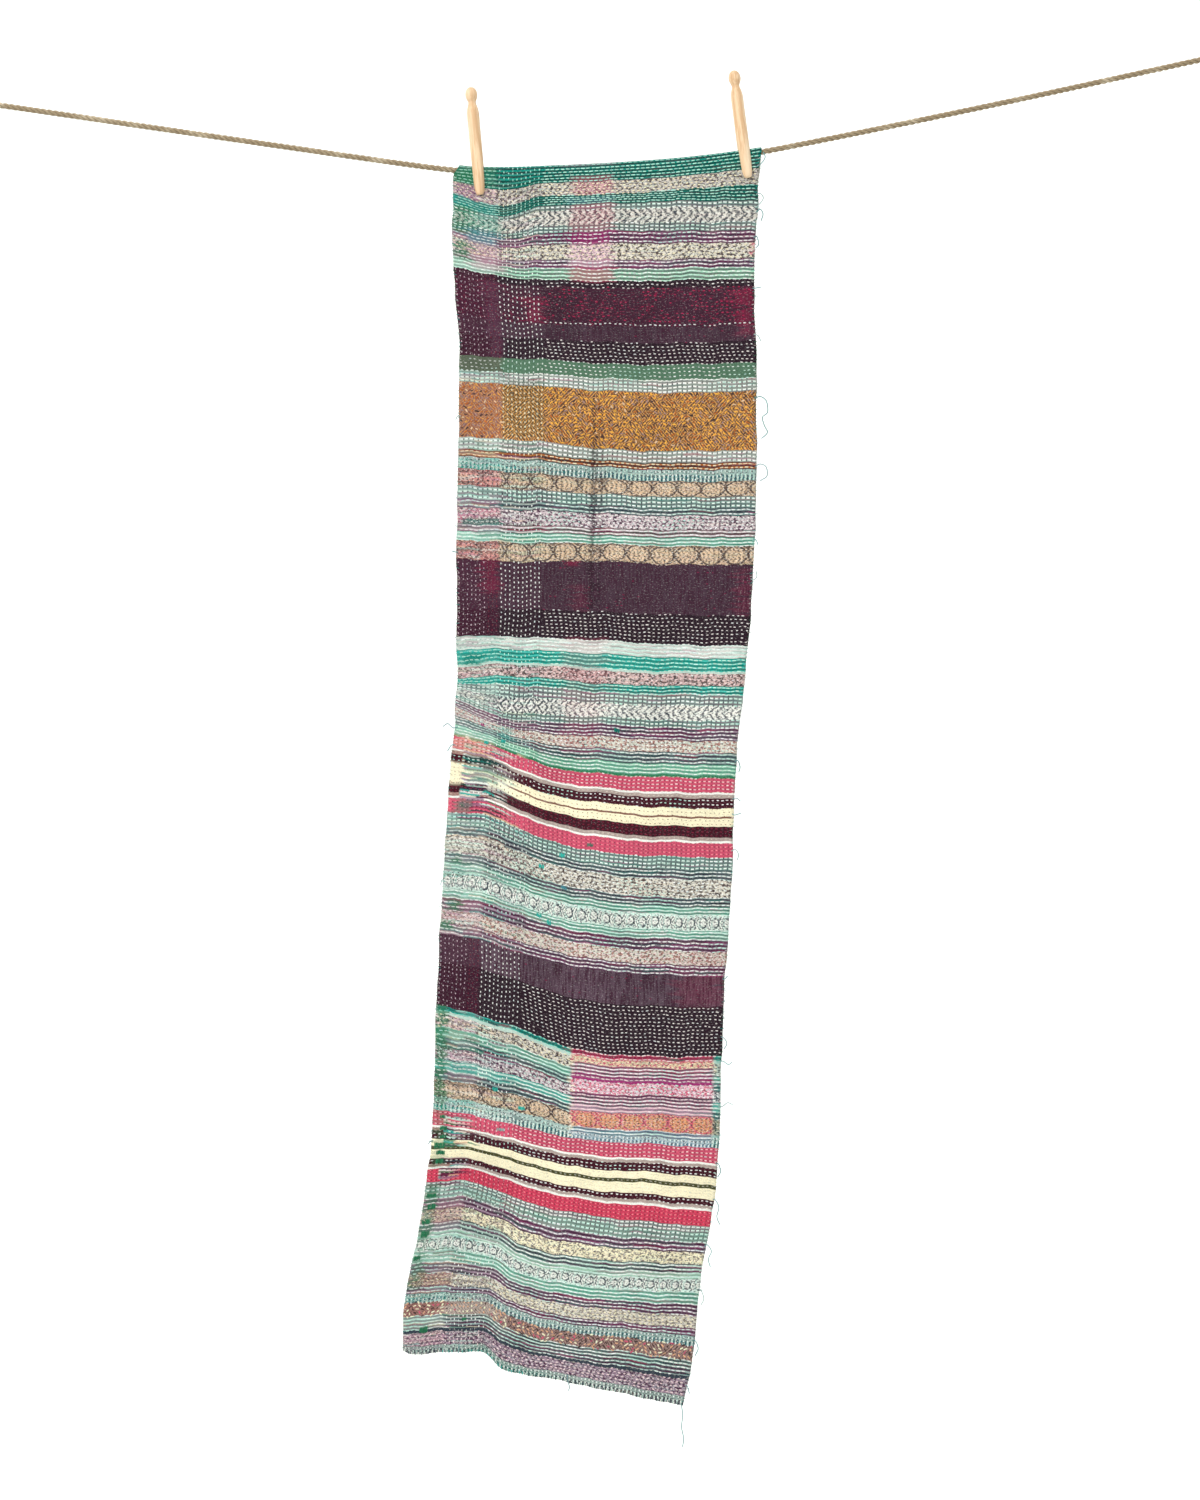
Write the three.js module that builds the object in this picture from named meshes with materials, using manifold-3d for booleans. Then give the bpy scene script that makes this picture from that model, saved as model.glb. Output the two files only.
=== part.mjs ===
// A kantha cloth pegged on a taut line.
//
// Millimetres, +Z up. The cloth faces -Y and the line runs along X. The origin is the centre of the
// rope eye at the line's left end, where the line is held.

import * as THREE from "three";
import { mergeVertices } from "three/addons/utils/BufferGeometryUtils.js";
import Module from "manifold-3d";

const wasm = await Module();
wasm.setup();

// ---- driving dimensions -------------------------------------------------------------------------

const gap = 0.3; // what touching pieces keep between them

const rope = { radius: 3, sides: 10, steps: 76 };

const cloth = {
  width: 300, // flat width across the stripes
  ply: 1.6, // both layers of cotton with their stitching
  flap: 46, // what hangs behind the line
  flapIn: 5, // how far the flap's hem draws in from the front's right edge
  foldSteps: 8, // facets of the bend over the line
  flapSteps: 3,
  frontSteps: 84,
};

const peg = {
  length: 110,
  sides: 20,
  slotDepth: 76, // from the legs' tips up to the root of the slot
  slotRootHalf: 1.4, // half the slot's width at its root
  slotGripHalf: 1.6, // half its width, unsprung, where it grips the line
  slotMouthHalf: 1.9, // half its width, unsprung, at the tips
  gripHeight: 25, // height of the line above the tips
  slotStep: 8, // between the points along the slot's sides
};

// The eye: a ring of rope, and the bound knot that it runs into, by distance from the ring's centre.
const eye = {
  ring: 14,
  ringSteps: 24,
  knotNear: 12,
  knotFar: 34,
  knotTaper: 6,
  knotRadius: 6.4,
  knotSides: 16,
};

// The line's route: height of its centre over the run of x, held up at both ends and drawn down
// at the two pegs.
const lineRoute = [
  { x: 0, z: 0 },
  { x: 40, z: -5.3 },
  { x: 190, z: -27.2 },
  { x: 340, z: -49 },
  { x: 440, z: -63.4 },
  { x: 492, z: -70 },
  { x: 518, z: -71.8 },
  { x: 545, z: -72 },
  { x: 580, z: -71 },
  { x: 640, z: -68.3 },
  { x: 700, z: -64.4 },
  { x: 740, z: -60.6 },
  { x: 784, z: -55 },
  { x: 802, z: -52 },
  { x: 890, z: -34.6 },
  { x: 990, z: -14 },
  { x: 1090, z: 7.2 },
  { x: 1240, z: 40 },
  { x: 1280, z: 48.6 },
];

// The pegs: where each crosses the line, and its lean from upright.
const pegPlaces = [
  { name: "peg_left", x: 518.3, lean: 5.2 },
  { name: "peg_right", x: 784.4, lean: 7.3 },
];

// Distances across the flat cloth, from its left edge, at which the courses below are measured:
// the left edge, the joins of the two narrow border strips, the fold beside them, and the field.
const acrossStops = { edge: 0, strip: 45, join: 88, fold: 108, quarter: 150, field: 220, right: 300 };

// Courses of the weave, named for the stripe that starts at each: the x of a weft line's two ends, then
// how far it hangs below the origin at each stop above.
const courseColumns = ["stripe", "x0", "x1", "edge", "strip", "join", "fold", "quarter", "field", "right"];
const courseRows = [
  ["emerald", 493, 797.5, 92, 104.5, 96, 95, 93.5, 89, 83.5],
  ["dark band 1", 493.5, 794, 165.5, 176.3, 181, 181.5, 182, 181, 180],
  ["sage", 499.5, 796, 254.5, 258.3, 261.3, 263, 265.2, 265.3, 263.6],
  ["below ochre", 498.5, 796.3, 336.5, 339.2, 343.5, 346.5, 350.2, 351.5, 351.5],
  ["dark band 2", 497, 793.5, 458.7, 461, 462, 462, 462.2, 464.3, 465.4],
  ["mint", 497, 787.5, 536.8, 535.8, 538.3, 539.3, 541.3, 544.2, 546.8],
  ["teal", 498, 784, 578, 575.9, 578.5, 580, 583.4, 585.6, 587],
  ["plum lines", 496, 779, 599, 615.6, 621.5, 623, 624, 627, 629],
  ["coral 1", 494, 775, 634.7, 646.5, 663, 668.7, 673, 677, 679.5],
  ["below coral 1", 487.5, 773, 711, 716, 734.5, 741.5, 750, 756, 759],
  ["dark band 3", 480.5, 765.5, 832.4, 840, 854, 860, 868.5, 874, 878],
  ["rose", 477, 761.5, 903.8, 914.3, 928.2, 936.5, 950.5, 955, 957.5],
  ["coral 2", 474, 759, 1007.8, 1015, 1025, 1029.8, 1038, 1045, 1050],
  ["below coral 2", 467, 750, 1081.4, 1080.8, 1095.5, 1102, 1111.5, 1120, 1128],
  ["leaf stripe", 457, 740.5, 1138, 1137, 1149, 1159, 1168, 1173.5, 1180],
  ["rust", 443.5, 733.5, 1205.5, 1202.7, 1205.6, 1214, 1227.5, 1234, 1246],
  ["hem", 443, 723.5, 1254.8, 1253, 1254.5, 1269, 1276.5, 1288, 1305],
];
const courses = courseRows.map((row) => Object.fromEntries(row.map((v, i) => [courseColumns[i], v])));

// Soft folds in depth. Each is centred across the cloth at `across`, drifting by `drift` for each mm
// further down, and lives between the drops `from` and `to`. A step pushes back what is left of it
// by `back`; a ridge or trough moves only its own width.
const folds = [
  { kind: "step", across: 98, drift: -0.02, from: 1090, to: 1400, width: 9, back: 13 },
  { kind: "ridge", across: 48, drift: 0.28, from: 560, to: 760, width: 26, back: -7 },
  { kind: "ridge", across: 105, drift: 0.1, from: 640, to: 1000, width: 30, back: 6 },
  { kind: "ridge", across: 150, drift: -0.1, from: 150, to: 420, width: 60, back: -5 },
  { kind: "ridge", across: 235, drift: 0.05, from: 420, to: 880, width: 45, back: 5 },
  { kind: "ridge", across: 300, drift: 0, from: 620, to: 1240, width: 34, back: 7 },
  { kind: "ridge", across: 0, drift: 0, from: 860, to: 1240, width: 30, back: -6 },
  { kind: "ridge", across: 190, drift: 0.12, from: 980, to: 1340, width: 42, back: -7 },
  { kind: "ridge", across: 20, drift: 0, from: 120, to: 430, width: 28, back: 4 },
];
const foldEase = 70; // a fold fades in and out over this much drop

// The finer steps across the cloth, closer together beside the fold.
const acrossSteps = [0, 13, 29, 45, 60, 74, 84, 91, 97, 103, 111, 123, 140, 160, 185, 210, 238, 268, 300];

// ---- smooth curves through the tables -----------------------------------------------------------

// Cubic through unevenly spaced stops, with each slope taken from the stops on both sides.
function smoothThrough(stops, values, at) {
  const last = stops.length - 1;
  let i = 0;
  while (i < last - 1 && at > stops[i + 1]) i += 1;
  const slope = (k) => {
    const lo = Math.max(k - 1, 0);
    const hi = Math.min(k + 1, last);
    return (values[hi] - values[lo]) / (stops[hi] - stops[lo]);
  };
  const span = stops[i + 1] - stops[i];
  const t = (at - stops[i]) / span;
  const t2 = t * t;
  const t3 = t2 * t;
  return (
    (2 * t3 - 3 * t2 + 1) * values[i] +
    (t3 - 2 * t2 + t) * span * slope(i) +
    (3 * t2 - 2 * t3) * values[i + 1] +
    (t3 - t2) * span * slope(i + 1)
  );
}

const lineStops = lineRoute.map((point) => point.x);
const lineHeights = lineRoute.map((point) => point.z);
const lineHeight = (x) => smoothThrough(lineStops, lineHeights, x);

const smoothStep = (t) => {
  const c = Math.min(Math.max(t, 0), 1);
  return c * c * (3 - 2 * c);
};

// ---- the cloth's hanging surface ----------------------------------------------------------------

const stopNames = Object.keys(acrossStops);
const stops = Object.values(acrossStops);
const bendRadius = rope.radius + gap + cloth.ply / 2; // of the sheet's middle, round the line

// The first course lies on the line itself, where the front leaves it.
const onLine = { x0: 493.5, x1: 801.5 };
stopNames.forEach((name, i) => {
  const x = THREE.MathUtils.lerp(onLine.x0, onLine.x1, stops[i] / cloth.width);
  onLine[name] = -lineHeight(x);
});
const hung = [onLine, ...courses];
const hungRights = hung.map((course) => course.right);
const top = hungRights[0];
const bottom = hungRights[hungRights.length - 1];

function foldDepth(across, drop) {
  let y = 0;
  for (const fold of folds) {
    const centre = fold.across + fold.drift * (drop - fold.from);
    const away = (across - centre) / fold.width;
    const live = smoothStep((drop - fold.from) / foldEase) * smoothStep((fold.to - drop) / foldEase);
    const shape = fold.kind === "step" ? 1 - smoothStep(away / 2 + 0.5) : Math.exp(-away * away);
    y += fold.back * live * shape;
  }
  return y;
}

// A point of the sheet's middle: `across` from the left edge and `down` along the right edge from
// where the front leaves the line. Below zero it runs over the line and down the flap.
function sheetPoint(across, down) {
  const share = across / cloth.width;
  if (down >= 0) {
    const key = top + down;
    const drops = stopNames.map((name) => smoothThrough(hungRights, hung.map((c) => c[name]), key));
    const x0 = smoothThrough(hungRights, hung.map((c) => c.x0), key);
    const x1 = smoothThrough(hungRights, hung.map((c) => c.x1), key);
    const drop = smoothThrough(stops, drops, across);
    return new THREE.Vector3(x0 + (x1 - x0) * share, foldDepth(across, key) - bendRadius, -drop);
  }
  const bendLength = Math.PI * bendRadius;
  const over = Math.min(-down, bendLength);
  const behind = Math.max(-down - bendLength, 0);
  const angle = over / bendRadius;
  const drawnIn = cloth.flapIn * share * smoothStep(behind / cloth.flap);
  const x = THREE.MathUtils.lerp(onLine.x0, onLine.x1, share) - drawnIn;
  const height = lineHeight(x) + bendRadius * Math.sin(angle) - behind;
  return new THREE.Vector3(x, -bendRadius * Math.cos(angle), height);
}

function sheetNormal(across, down) {
  const reach = 0.05;
  const alongX = sheetPoint(Math.min(across + reach, cloth.width), down);
  alongX.sub(sheetPoint(Math.max(across - reach, 0), down));
  const alongDown = sheetPoint(across, down + reach).sub(sheetPoint(across, down - reach));
  return alongX.cross(alongDown).normalize().negate(); // points out of the front face
}

// Steps down the sheet: the flap from its hem, the bend over the line, then the front.
function downSteps() {
  const bendLength = Math.PI * bendRadius;
  const steps = [];
  for (let i = 0; i < cloth.flapSteps; i += 1) {
    steps.push(-bendLength - cloth.flap * (1 - i / cloth.flapSteps));
  }
  for (let i = 0; i < cloth.foldSteps; i += 1) steps.push(-bendLength * (1 - i / cloth.foldSteps));
  for (let i = 0; i <= cloth.frontSteps; i += 1) steps.push(((bottom - top) * i) / cloth.frontSteps);
  return steps;
}

// The cloth is a thin box whose points are carried onto the hanging surface.
function clothGeometry() {
  const downs = downSteps();
  const columns = acrossSteps.length - 1;
  const rows = downs.length - 1;
  const sheet = plainSolid(new THREE.BoxGeometry(1, 1, 1, columns, rows, 1));
  const points = sheet.attributes.position;
  for (let i = 0; i < points.count; i += 1) {
    const across = acrossSteps[Math.round((points.getX(i) + 0.5) * columns)];
    const down = downs[Math.round((0.5 - points.getY(i)) * rows)];
    const out = sheetNormal(across, down).multiplyScalar(points.getZ(i) * cloth.ply);
    const place = sheetPoint(across, down).add(out);
    points.setXYZ(i, place.x, place.y, place.z);
  }
  return sheet;
}

// ---- solids -------------------------------------------------------------------------------------

// Position only, with shared corners merged.
function plainSolid(geometry) {
  geometry.deleteAttribute("normal");
  geometry.deleteAttribute("uv");
  geometry.clearGroups();
  return mergeVertices(geometry, 1e-5);
}

function toManifold(geometry) {
  const solid = plainSolid(geometry);
  return new wasm.Manifold(
    new wasm.Mesh({
      numProp: 3,
      vertProperties: new Float32Array(solid.attributes.position.array),
      triVerts: new Uint32Array(solid.index.array),
    }),
  );
}

function fromManifold(manifold) {
  const mesh = manifold.getMesh();
  const geometry = new THREE.BufferGeometry();
  const positions = new Float32Array(mesh.vertProperties);
  geometry.setAttribute("position", new THREE.BufferAttribute(positions, 3));
  geometry.setIndex(new THREE.BufferAttribute(new Uint32Array(mesh.triVerts), 1));
  return geometry;
}

// The two ends of the line: where each is held, and its slope as it comes into its eye.
const leftEnd = lineRoute[0];
const rightEnd = lineRoute[lineRoute.length - 1];
const leftSlope = Math.atan2(lineRoute[1].z - leftEnd.z, lineRoute[1].x - leftEnd.x);
const beforeRight = lineRoute[lineRoute.length - 2];
const rightSlope = Math.atan2(rightEnd.z - beforeRight.z, rightEnd.x - beforeRight.x);

// The rope between the two knots.
class LinePath extends THREE.Curve {
  getPoint(t, target = new THREE.Vector3()) {
    const start = leftEnd.x + (eye.knotFar + gap) * Math.cos(leftSlope);
    const end = rightEnd.x - (eye.knotFar + gap) * Math.cos(rightSlope);
    const x = THREE.MathUtils.lerp(start, end, t);
    return target.set(x, 0, lineHeight(x));
  }
}

function lineGeometry() {
  const section = new THREE.Shape();
  section.absarc(0, 0, rope.radius, 0, Math.PI * 2, false);
  return new THREE.ExtrudeGeometry(section, {
    steps: rope.steps,
    extrudePath: new LinePath(),
    curveSegments: rope.sides / 2,
    bevelEnabled: false,
  });
}

// A rope eye: a ring of rope that goes into a bound knot. Built along +X with its centre at 0.
function eyeGeometry() {
  const ring = new THREE.TorusGeometry(eye.ring, rope.radius, rope.sides, eye.ringSteps);
  ring.rotateX(Math.PI / 2);
  const waist = eye.knotRadius;
  const throat = 0.64 * waist;
  const knot = new THREE.LatheGeometry(
    [
      new THREE.Vector2(0, eye.knotNear),
      new THREE.Vector2(throat, eye.knotNear + 1),
      new THREE.Vector2(waist, eye.knotNear + eye.knotTaper),
      new THREE.Vector2(waist, eye.knotFar - eye.knotTaper),
      new THREE.Vector2(throat, eye.knotFar),
      new THREE.Vector2(0, eye.knotFar),
    ],
    eye.knotSides,
  );
  knot.rotateZ(-Math.PI / 2);
  return fromManifold(toManifold(ring).add(toManifold(knot)));
}

// Outline of the turned peg: radius down from the crown of its head to the tips of its legs.
const pegProfile = [
  { down: 0, r: 0 },
  { down: 0.7, r: 2.6 },
  { down: 3, r: 4.8 },
  { down: 7, r: 6 },
  { down: 10.6, r: 5.6 },
  { down: 13.6, r: 4.4 },
  { down: 15.5, r: 3.8 },
  { down: 17.6, r: 4.1 },
  { down: 21.5, r: 5.3 },
  { down: 25, r: 5.9 },
  { down: 28, r: 6.1 },
  { down: 40, r: 6.1 },
  { down: 52, r: 6.1 },
  { down: 60, r: 6.1 },
  { down: 68, r: 6.05 },
  { down: 76, r: 5.95 },
  { down: 84, r: 5.85 },
  { down: 92, r: 5.75 },
  { down: 100, r: 5.5 },
  { down: 105, r: 5 },
  { down: 108.5, r: 4.2 },
  { down: 110, r: 3 },
  { down: 110, r: 0 },
];

// Half the slot's width before the legs are sprung, at a height above the tips.
function slotHalf(height) {
  const above = (height - peg.gripHeight) / (peg.slotDepth - peg.gripHeight);
  if (above > 0) return THREE.MathUtils.lerp(peg.slotGripHalf, peg.slotRootHalf, above);
  return THREE.MathUtils.lerp(peg.slotMouthHalf, peg.slotGripHalf, height / peg.gripHeight);
}

// How far each leg is sprung outward at that height: bent like a beam down to the line, straight below.
function legSpring(height) {
  const grip = rope.radius + gap + cloth.ply + gap - peg.slotGripHalf;
  const reach = (peg.slotDepth - height) / (peg.slotDepth - peg.gripHeight);
  if (reach <= 0) return 0;
  return reach < 1 ? grip * reach * reach * (1.5 - 0.5 * reach) : grip * (1.5 * reach - 0.5);
}

// The slot's outline, from below the tips up to its round root.
function slotShape() {
  const outline = new THREE.Shape();
  const heights = [-1];
  for (let height = 0.5 * peg.slotStep; height < peg.slotDepth - 4; height += peg.slotStep) {
    heights.push(height);
  }
  outline.moveTo(-slotHalf(heights[0]), heights[0]);
  for (const height of heights) outline.lineTo(slotHalf(height), height);
  outline.absarc(0, peg.slotDepth - peg.slotRootHalf, peg.slotRootHalf, 0, Math.PI, false);
  for (const height of heights.slice(1).reverse()) outline.lineTo(-slotHalf(height), height);
  outline.closePath();
  return outline;
}

// A dolly peg with its tips at z = 0, slotted up the middle and sprung open round the line.
function pegGeometry() {
  const upwards = [...pegProfile].reverse();
  const turned = new THREE.LatheGeometry(
    upwards.map((ring) => new THREE.Vector2(ring.r, peg.length - ring.down)),
    peg.sides,
  );
  turned.rotateX(Math.PI / 2);
  const cutWidth = 20;
  const slot = new THREE.ExtrudeGeometry(slotShape(), {
    depth: cutWidth,
    bevelEnabled: false,
    curveSegments: 4,
  });
  slot.translate(0, 0, -cutWidth / 2);
  slot.rotateX(Math.PI / 2);
  slot.rotateZ(Math.PI / 2);
  const cut = fromManifold(toManifold(turned).subtract(toManifold(slot)));
  const points = cut.attributes.position;
  for (let i = 0; i < points.count; i += 1) {
    const side = Math.sign(points.getY(i));
    points.setY(i, points.getY(i) + side * legSpring(points.getZ(i)));
  }
  return cut;
}

// ---- the object ---------------------------------------------------------------------------------

const finish = (color, roughness) => new THREE.MeshStandardMaterial({ color, roughness, metalness: 0 });

function piece(name, geometry, material) {
  const mesh = new THREE.Mesh(geometry, material);
  mesh.name = name;
  return mesh;
}

const object = new THREE.Group();

object.add(piece("kantha_cloth", clothGeometry(), finish("#7fa898", 0.92)));
object.add(piece("line", lineGeometry(), finish("#a8957a", 0.9)));

const lineEnds = [
  { name: "line_eye_left", at: leftEnd, turn: -leftSlope },
  { name: "line_eye_right", at: rightEnd, turn: Math.PI - rightSlope },
];
for (const end of lineEnds) {
  const mesh = piece(end.name, eyeGeometry(), finish("#a8957a", 0.9));
  mesh.position.set(end.at.x, 0, end.at.z);
  mesh.rotation.y = end.turn;
  object.add(mesh);
}

for (const place of pegPlaces) {
  const mesh = piece(place.name, pegGeometry(), finish("#efcf9f", 0.62));
  const lean = THREE.MathUtils.degToRad(place.lean);
  mesh.rotation.y = -lean;
  mesh.position.set(
    place.x + peg.gripHeight * Math.sin(lean),
    0,
    lineHeight(place.x) - peg.gripHeight * Math.cos(lean),
  );
  object.add(mesh);
}

export default object;
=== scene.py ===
# A kantha cloth pegged over a taut rope line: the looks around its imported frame.
# Lengths are in millimetres until mm turns them into Blender's metres.

import math

import bpy
import numpy as np
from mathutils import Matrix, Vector


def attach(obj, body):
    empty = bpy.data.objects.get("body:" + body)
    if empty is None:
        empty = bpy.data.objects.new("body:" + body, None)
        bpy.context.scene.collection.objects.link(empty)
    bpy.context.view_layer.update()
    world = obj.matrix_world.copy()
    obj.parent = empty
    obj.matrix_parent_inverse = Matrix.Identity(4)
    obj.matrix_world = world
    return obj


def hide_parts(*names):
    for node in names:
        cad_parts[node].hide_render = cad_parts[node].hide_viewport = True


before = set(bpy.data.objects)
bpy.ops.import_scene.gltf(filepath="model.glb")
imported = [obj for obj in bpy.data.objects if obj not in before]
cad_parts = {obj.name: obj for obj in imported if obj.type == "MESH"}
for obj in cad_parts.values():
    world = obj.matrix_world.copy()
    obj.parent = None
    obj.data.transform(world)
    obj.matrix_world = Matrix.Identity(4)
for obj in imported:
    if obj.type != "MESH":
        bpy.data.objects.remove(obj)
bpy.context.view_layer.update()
mm = 0.001
fullTurn = 2 * math.pi
scene = bpy.context.scene

# Small helpers


def dye(code):  # a colour as a dyer's card gives it, in linear light
    parts = [int(code[i : i + 2], 16) / 255 for i in (0, 2, 4)]
    return tuple(((p + 0.055) / 1.055) ** 2.4 if p > 0.04 else p / 12.92 for p in parts)


def deselectAll():
    if bpy.context.object and bpy.context.object.mode != "OBJECT":
        bpy.ops.object.mode_set(mode="OBJECT")
    bpy.ops.object.select_all(action="DESELECT")


def onlySelect(piece):
    deselectAll()
    piece.select_set(True)
    bpy.context.view_layer.objects.active = piece


def facesOutward(piece):
    onlySelect(piece)
    bpy.ops.object.mode_set(mode="EDIT")
    bpy.ops.mesh.select_all(action="SELECT")
    bpy.ops.mesh.normals_make_consistent(inside=False)
    bpy.ops.object.mode_set(mode="OBJECT")


def smoothStep(t):
    t = np.clip(t, 0, 1)
    return t * t * (3 - 2 * t)


def smoothThrough(stops, values, at):
    # cubic through unevenly spaced stops; values may hold one row for each point in at
    stops, values, at = np.asarray(stops, float), np.asarray(values, float), np.asarray(at, float)
    last = len(stops) - 1
    low, high = np.maximum(np.arange(last + 1) - 1, 0), np.minimum(np.arange(last + 1) + 1, last)
    slopes = (values[..., high] - values[..., low]) / (stops[high] - stops[low])
    k = np.clip(np.searchsorted(stops, at, side="left") - 1, 0, last - 1)

    def pick(table, index):
        return table[index] if table.ndim == 1 else table[np.arange(len(at)), index]

    span = stops[k + 1] - stops[k]
    t = (at - stops[k]) / span
    bend = (t**3 - 2 * t**2 + t) * pick(slopes, k) + (t**3 - t**2) * pick(slopes, k + 1)
    rise = 3 * t**2 - 2 * t**3
    return (1 - rise) * pick(values, k) + rise * pick(values, k + 1) + span * bend


def unit(vectors):
    return vectors / np.linalg.norm(vectors, axis=1, keepdims=True)


def ringFaces(count, sides, base=0, closed=False):
    # the walls between rings of points, with a cap at each end of an open run
    ring, side = np.divmod(np.arange((count if closed else count - 1) * sides), sides)
    here, after = base + ring * sides, base + (ring + 1) % count * sides
    beside = (side + 1) % sides
    walls = np.stack([here + side, after + side, after + beside, here + beside], axis=1).tolist()
    if closed:
        return walls
    cap = np.arange(sides) + base
    return walls + [cap.tolist(), (cap + (count - 1) * sides)[::-1].tolist()]


def meshPiece(name, points, faces, *materials):
    # points in millimetres; each face lists its corners
    mesh = bpy.data.meshes.new(name)
    sizes = np.array([len(f) for f in faces])
    corners = np.concatenate([np.asarray(f) for f in faces])
    mesh.vertices.add(len(points))
    mesh.vertices.foreach_set("co", (np.asarray(points, float) * mm).astype(np.float32).ravel())
    mesh.loops.add(len(corners))
    mesh.loops.foreach_set("vertex_index", corners.astype(np.int32))
    mesh.polygons.add(len(sizes))
    mesh.polygons.foreach_set("loop_start", (np.cumsum(sizes) - sizes).astype(np.int32))
    mesh.update(calc_edges=True)
    mesh.shade_smooth()
    piece = bpy.data.objects.new(name, mesh)
    scene.collection.objects.link(piece)
    for material in materials:
        mesh.materials.append(material)
    return piece


def writeEach(piece, name, kind, values, domain="POINT"):
    # one color or vector for each point or corner
    made = piece.data.attributes.new(name, "FLOAT_" + kind.upper(), domain)
    if kind == "color":
        values = np.hstack([values, np.ones((len(values), 1))])
    made.data.foreach_set(kind, np.asarray(values, np.float32).ravel())


def finishPiece(piece, node=None):
    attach(piece, "root")
    if node:
        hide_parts(node)
    return piece


# Node helpers and the effects that several finishes share


class Wire:  # a node's output, which can be added and scaled as a number is
    def __init__(self, socket):
        self.socket, self.tree = socket, socket.id_data

    def calc(self, operation, *others):
        return sumNode(self.tree, operation, self, *others)

    def __add__(self, other):
        return self.calc("ADD", other)

    def __sub__(self, other):
        return self.calc("SUBTRACT", other)

    def __rsub__(self, other):
        return sumNode(self.tree, "SUBTRACT", other, self)

    def __mul__(self, other):
        return self.calc("MULTIPLY", other)

    def __truediv__(self, other):
        return self.calc("DIVIDE", other)


def plug(value, socket):  # a wire, a number or a colour into a node's input
    if isinstance(value, Wire):
        value.tree.links.new(value.socket, socket)
    elif socket.type == "RGBA":
        socket.default_value = (*value, 1)
    else:
        socket.default_value = value


def addNode(tree, kind, inputs=(), **settings):
    node = tree.nodes.new("ShaderNode" + kind)
    for name, value in settings.items():
        setattr(node, name, value)
    for key, value in dict(inputs).items():
        plug(value, node.inputs[key])
    return node


def sumNode(tree, operation, *values):
    return Wire(addNode(tree, "Math", enumerate(values), operation=operation).outputs[0])


def ease(value, low, high, outLow=0.0, outHigh=1.0):
    inputs = {"Value": value, "From Min": low, "From Max": high, "To Min": outLow, "To Max": outHigh}
    return Wire(addNode(value.tree, "MapRange", inputs, interpolation_type="SMOOTHSTEP").outputs[0])


def mix(factor, first, second, blend="MIX"):
    tree = next(v for v in (factor, first, second) if isinstance(v, Wire)).tree
    inputs = {0: factor, 6: first, 7: second}
    return Wire(addNode(tree, "Mix", inputs, data_type="RGBA", blend_type=blend).outputs[2])


def brighten(colour, amount):
    inputs = {0: colour, "Scale": amount}
    return Wire(addNode(colour.tree, "VectorMath", inputs, operation="SCALE").outputs[0])


def noise(place, scale, detail=2.0, roughness=0.5, stretch=(1, 1, 1)):
    place = Wire(addNode(place.tree, "Mapping", {"Vector": place, "Scale": stretch}).outputs[0])
    inputs = {"Vector": place, "Scale": scale, "Detail": detail, "Roughness": roughness}
    return Wire(addNode(place.tree, "TexNoise", inputs).outputs["Fac"])


def split(vector):
    return [Wire(socket) for socket in addNode(vector.tree, "SeparateXYZ", {0: vector}).outputs]


def objectPlace(tree):
    return Wire(addNode(tree, "TexCoord").outputs["Object"])


def attribute(tree, name, output="Color"):
    return Wire(addNode(tree, "Attribute", attribute_name=name).outputs[output])


def bump(height, distance, strength=1.0):
    inputs = {"Height": height, "Distance": distance, "Strength": strength}
    return Wire(addNode(height.tree, "Bump", inputs).outputs["Normal"])


def newGroup(name, inputs, outputs):
    # each label is given its kind of socket
    tree = bpy.data.node_groups.new(name, "ShaderNodeTree")
    for way, sockets in (("INPUT", inputs), ("OUTPUT", outputs)):
        for label, kind in sockets.items():
            tree.interface.new_socket(label, in_out=way, socket_type="NodeSocket" + kind)
    given = tree.nodes.new("NodeGroupInput").outputs
    return tree, [Wire(given[label]) for label in inputs], tree.nodes.new("NodeGroupOutput").inputs


def useGroup(group, inputs):
    tree = next(v for v in inputs.values() if isinstance(v, Wire)).tree
    return [Wire(socket) for socket in addNode(tree, "Group", inputs, node_tree=group).outputs]


def startMaterial(name, roughness, specular=0.25):
    material = bpy.data.materials.new(name)
    material.use_nodes = True
    inputs = material.node_tree.nodes["Principled BSDF"].inputs
    inputs["Roughness"].default_value = roughness
    inputs["Specular IOR Level"].default_value = specular
    return material, material.node_tree, inputs


def buildSlub():  # uneven yarn: light and dark streaks drawn out along the thread
    inputs = {"Vector": "Vector", "Colour": "Color", "Streak": "Float", "Depth": "Float"}
    tree, (place, colour, streak, depth), out = newGroup("slub", inputs, {"Colour": "Color"})
    swing = (noise(place, streak, 3, 0.6) - 0.5) * 2
    plug(brighten(colour, swing * depth + 1), out["Colour"])
    return tree


slub = buildSlub()


def slubbed(place, colour, streak, depth):
    return useGroup(slub, {"Vector": place, "Colour": colour, "Streak": streak, "Depth": depth})[0]


# Camera, room and light

# Its height is what the frame takes in at the cloth.
shot = {"middleX": 640, "middleZ": -650, "away": 2400, "height": 1500}


def addCamera():
    deselectAll()
    place = (shot["middleX"] * mm, -shot["away"] * mm, shot["middleZ"] * mm)
    bpy.ops.object.camera_add(location=place, rotation=(math.radians(90), 0, 0))
    camera = bpy.context.object
    camera.data.lens = camera.data.sensor_width * shot["away"] / shot["height"]
    camera.data.clip_end = 60
    scene.camera = camera


room = {
    "floor": -3.7,
    "radius": 5.6,
    "cove": 0.9,
    "coveSteps": 9,
    "wall": 8.0,
    "paint": "f4f5f3",
    "frontPaint": "cdd0ce",  # the part behind the camera is greyer, so the cloth isn't lit flat
    "turnsPale": (-2.5, 2.0),  # from here to here, front to back
    "glow": 0.36,
}


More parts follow.
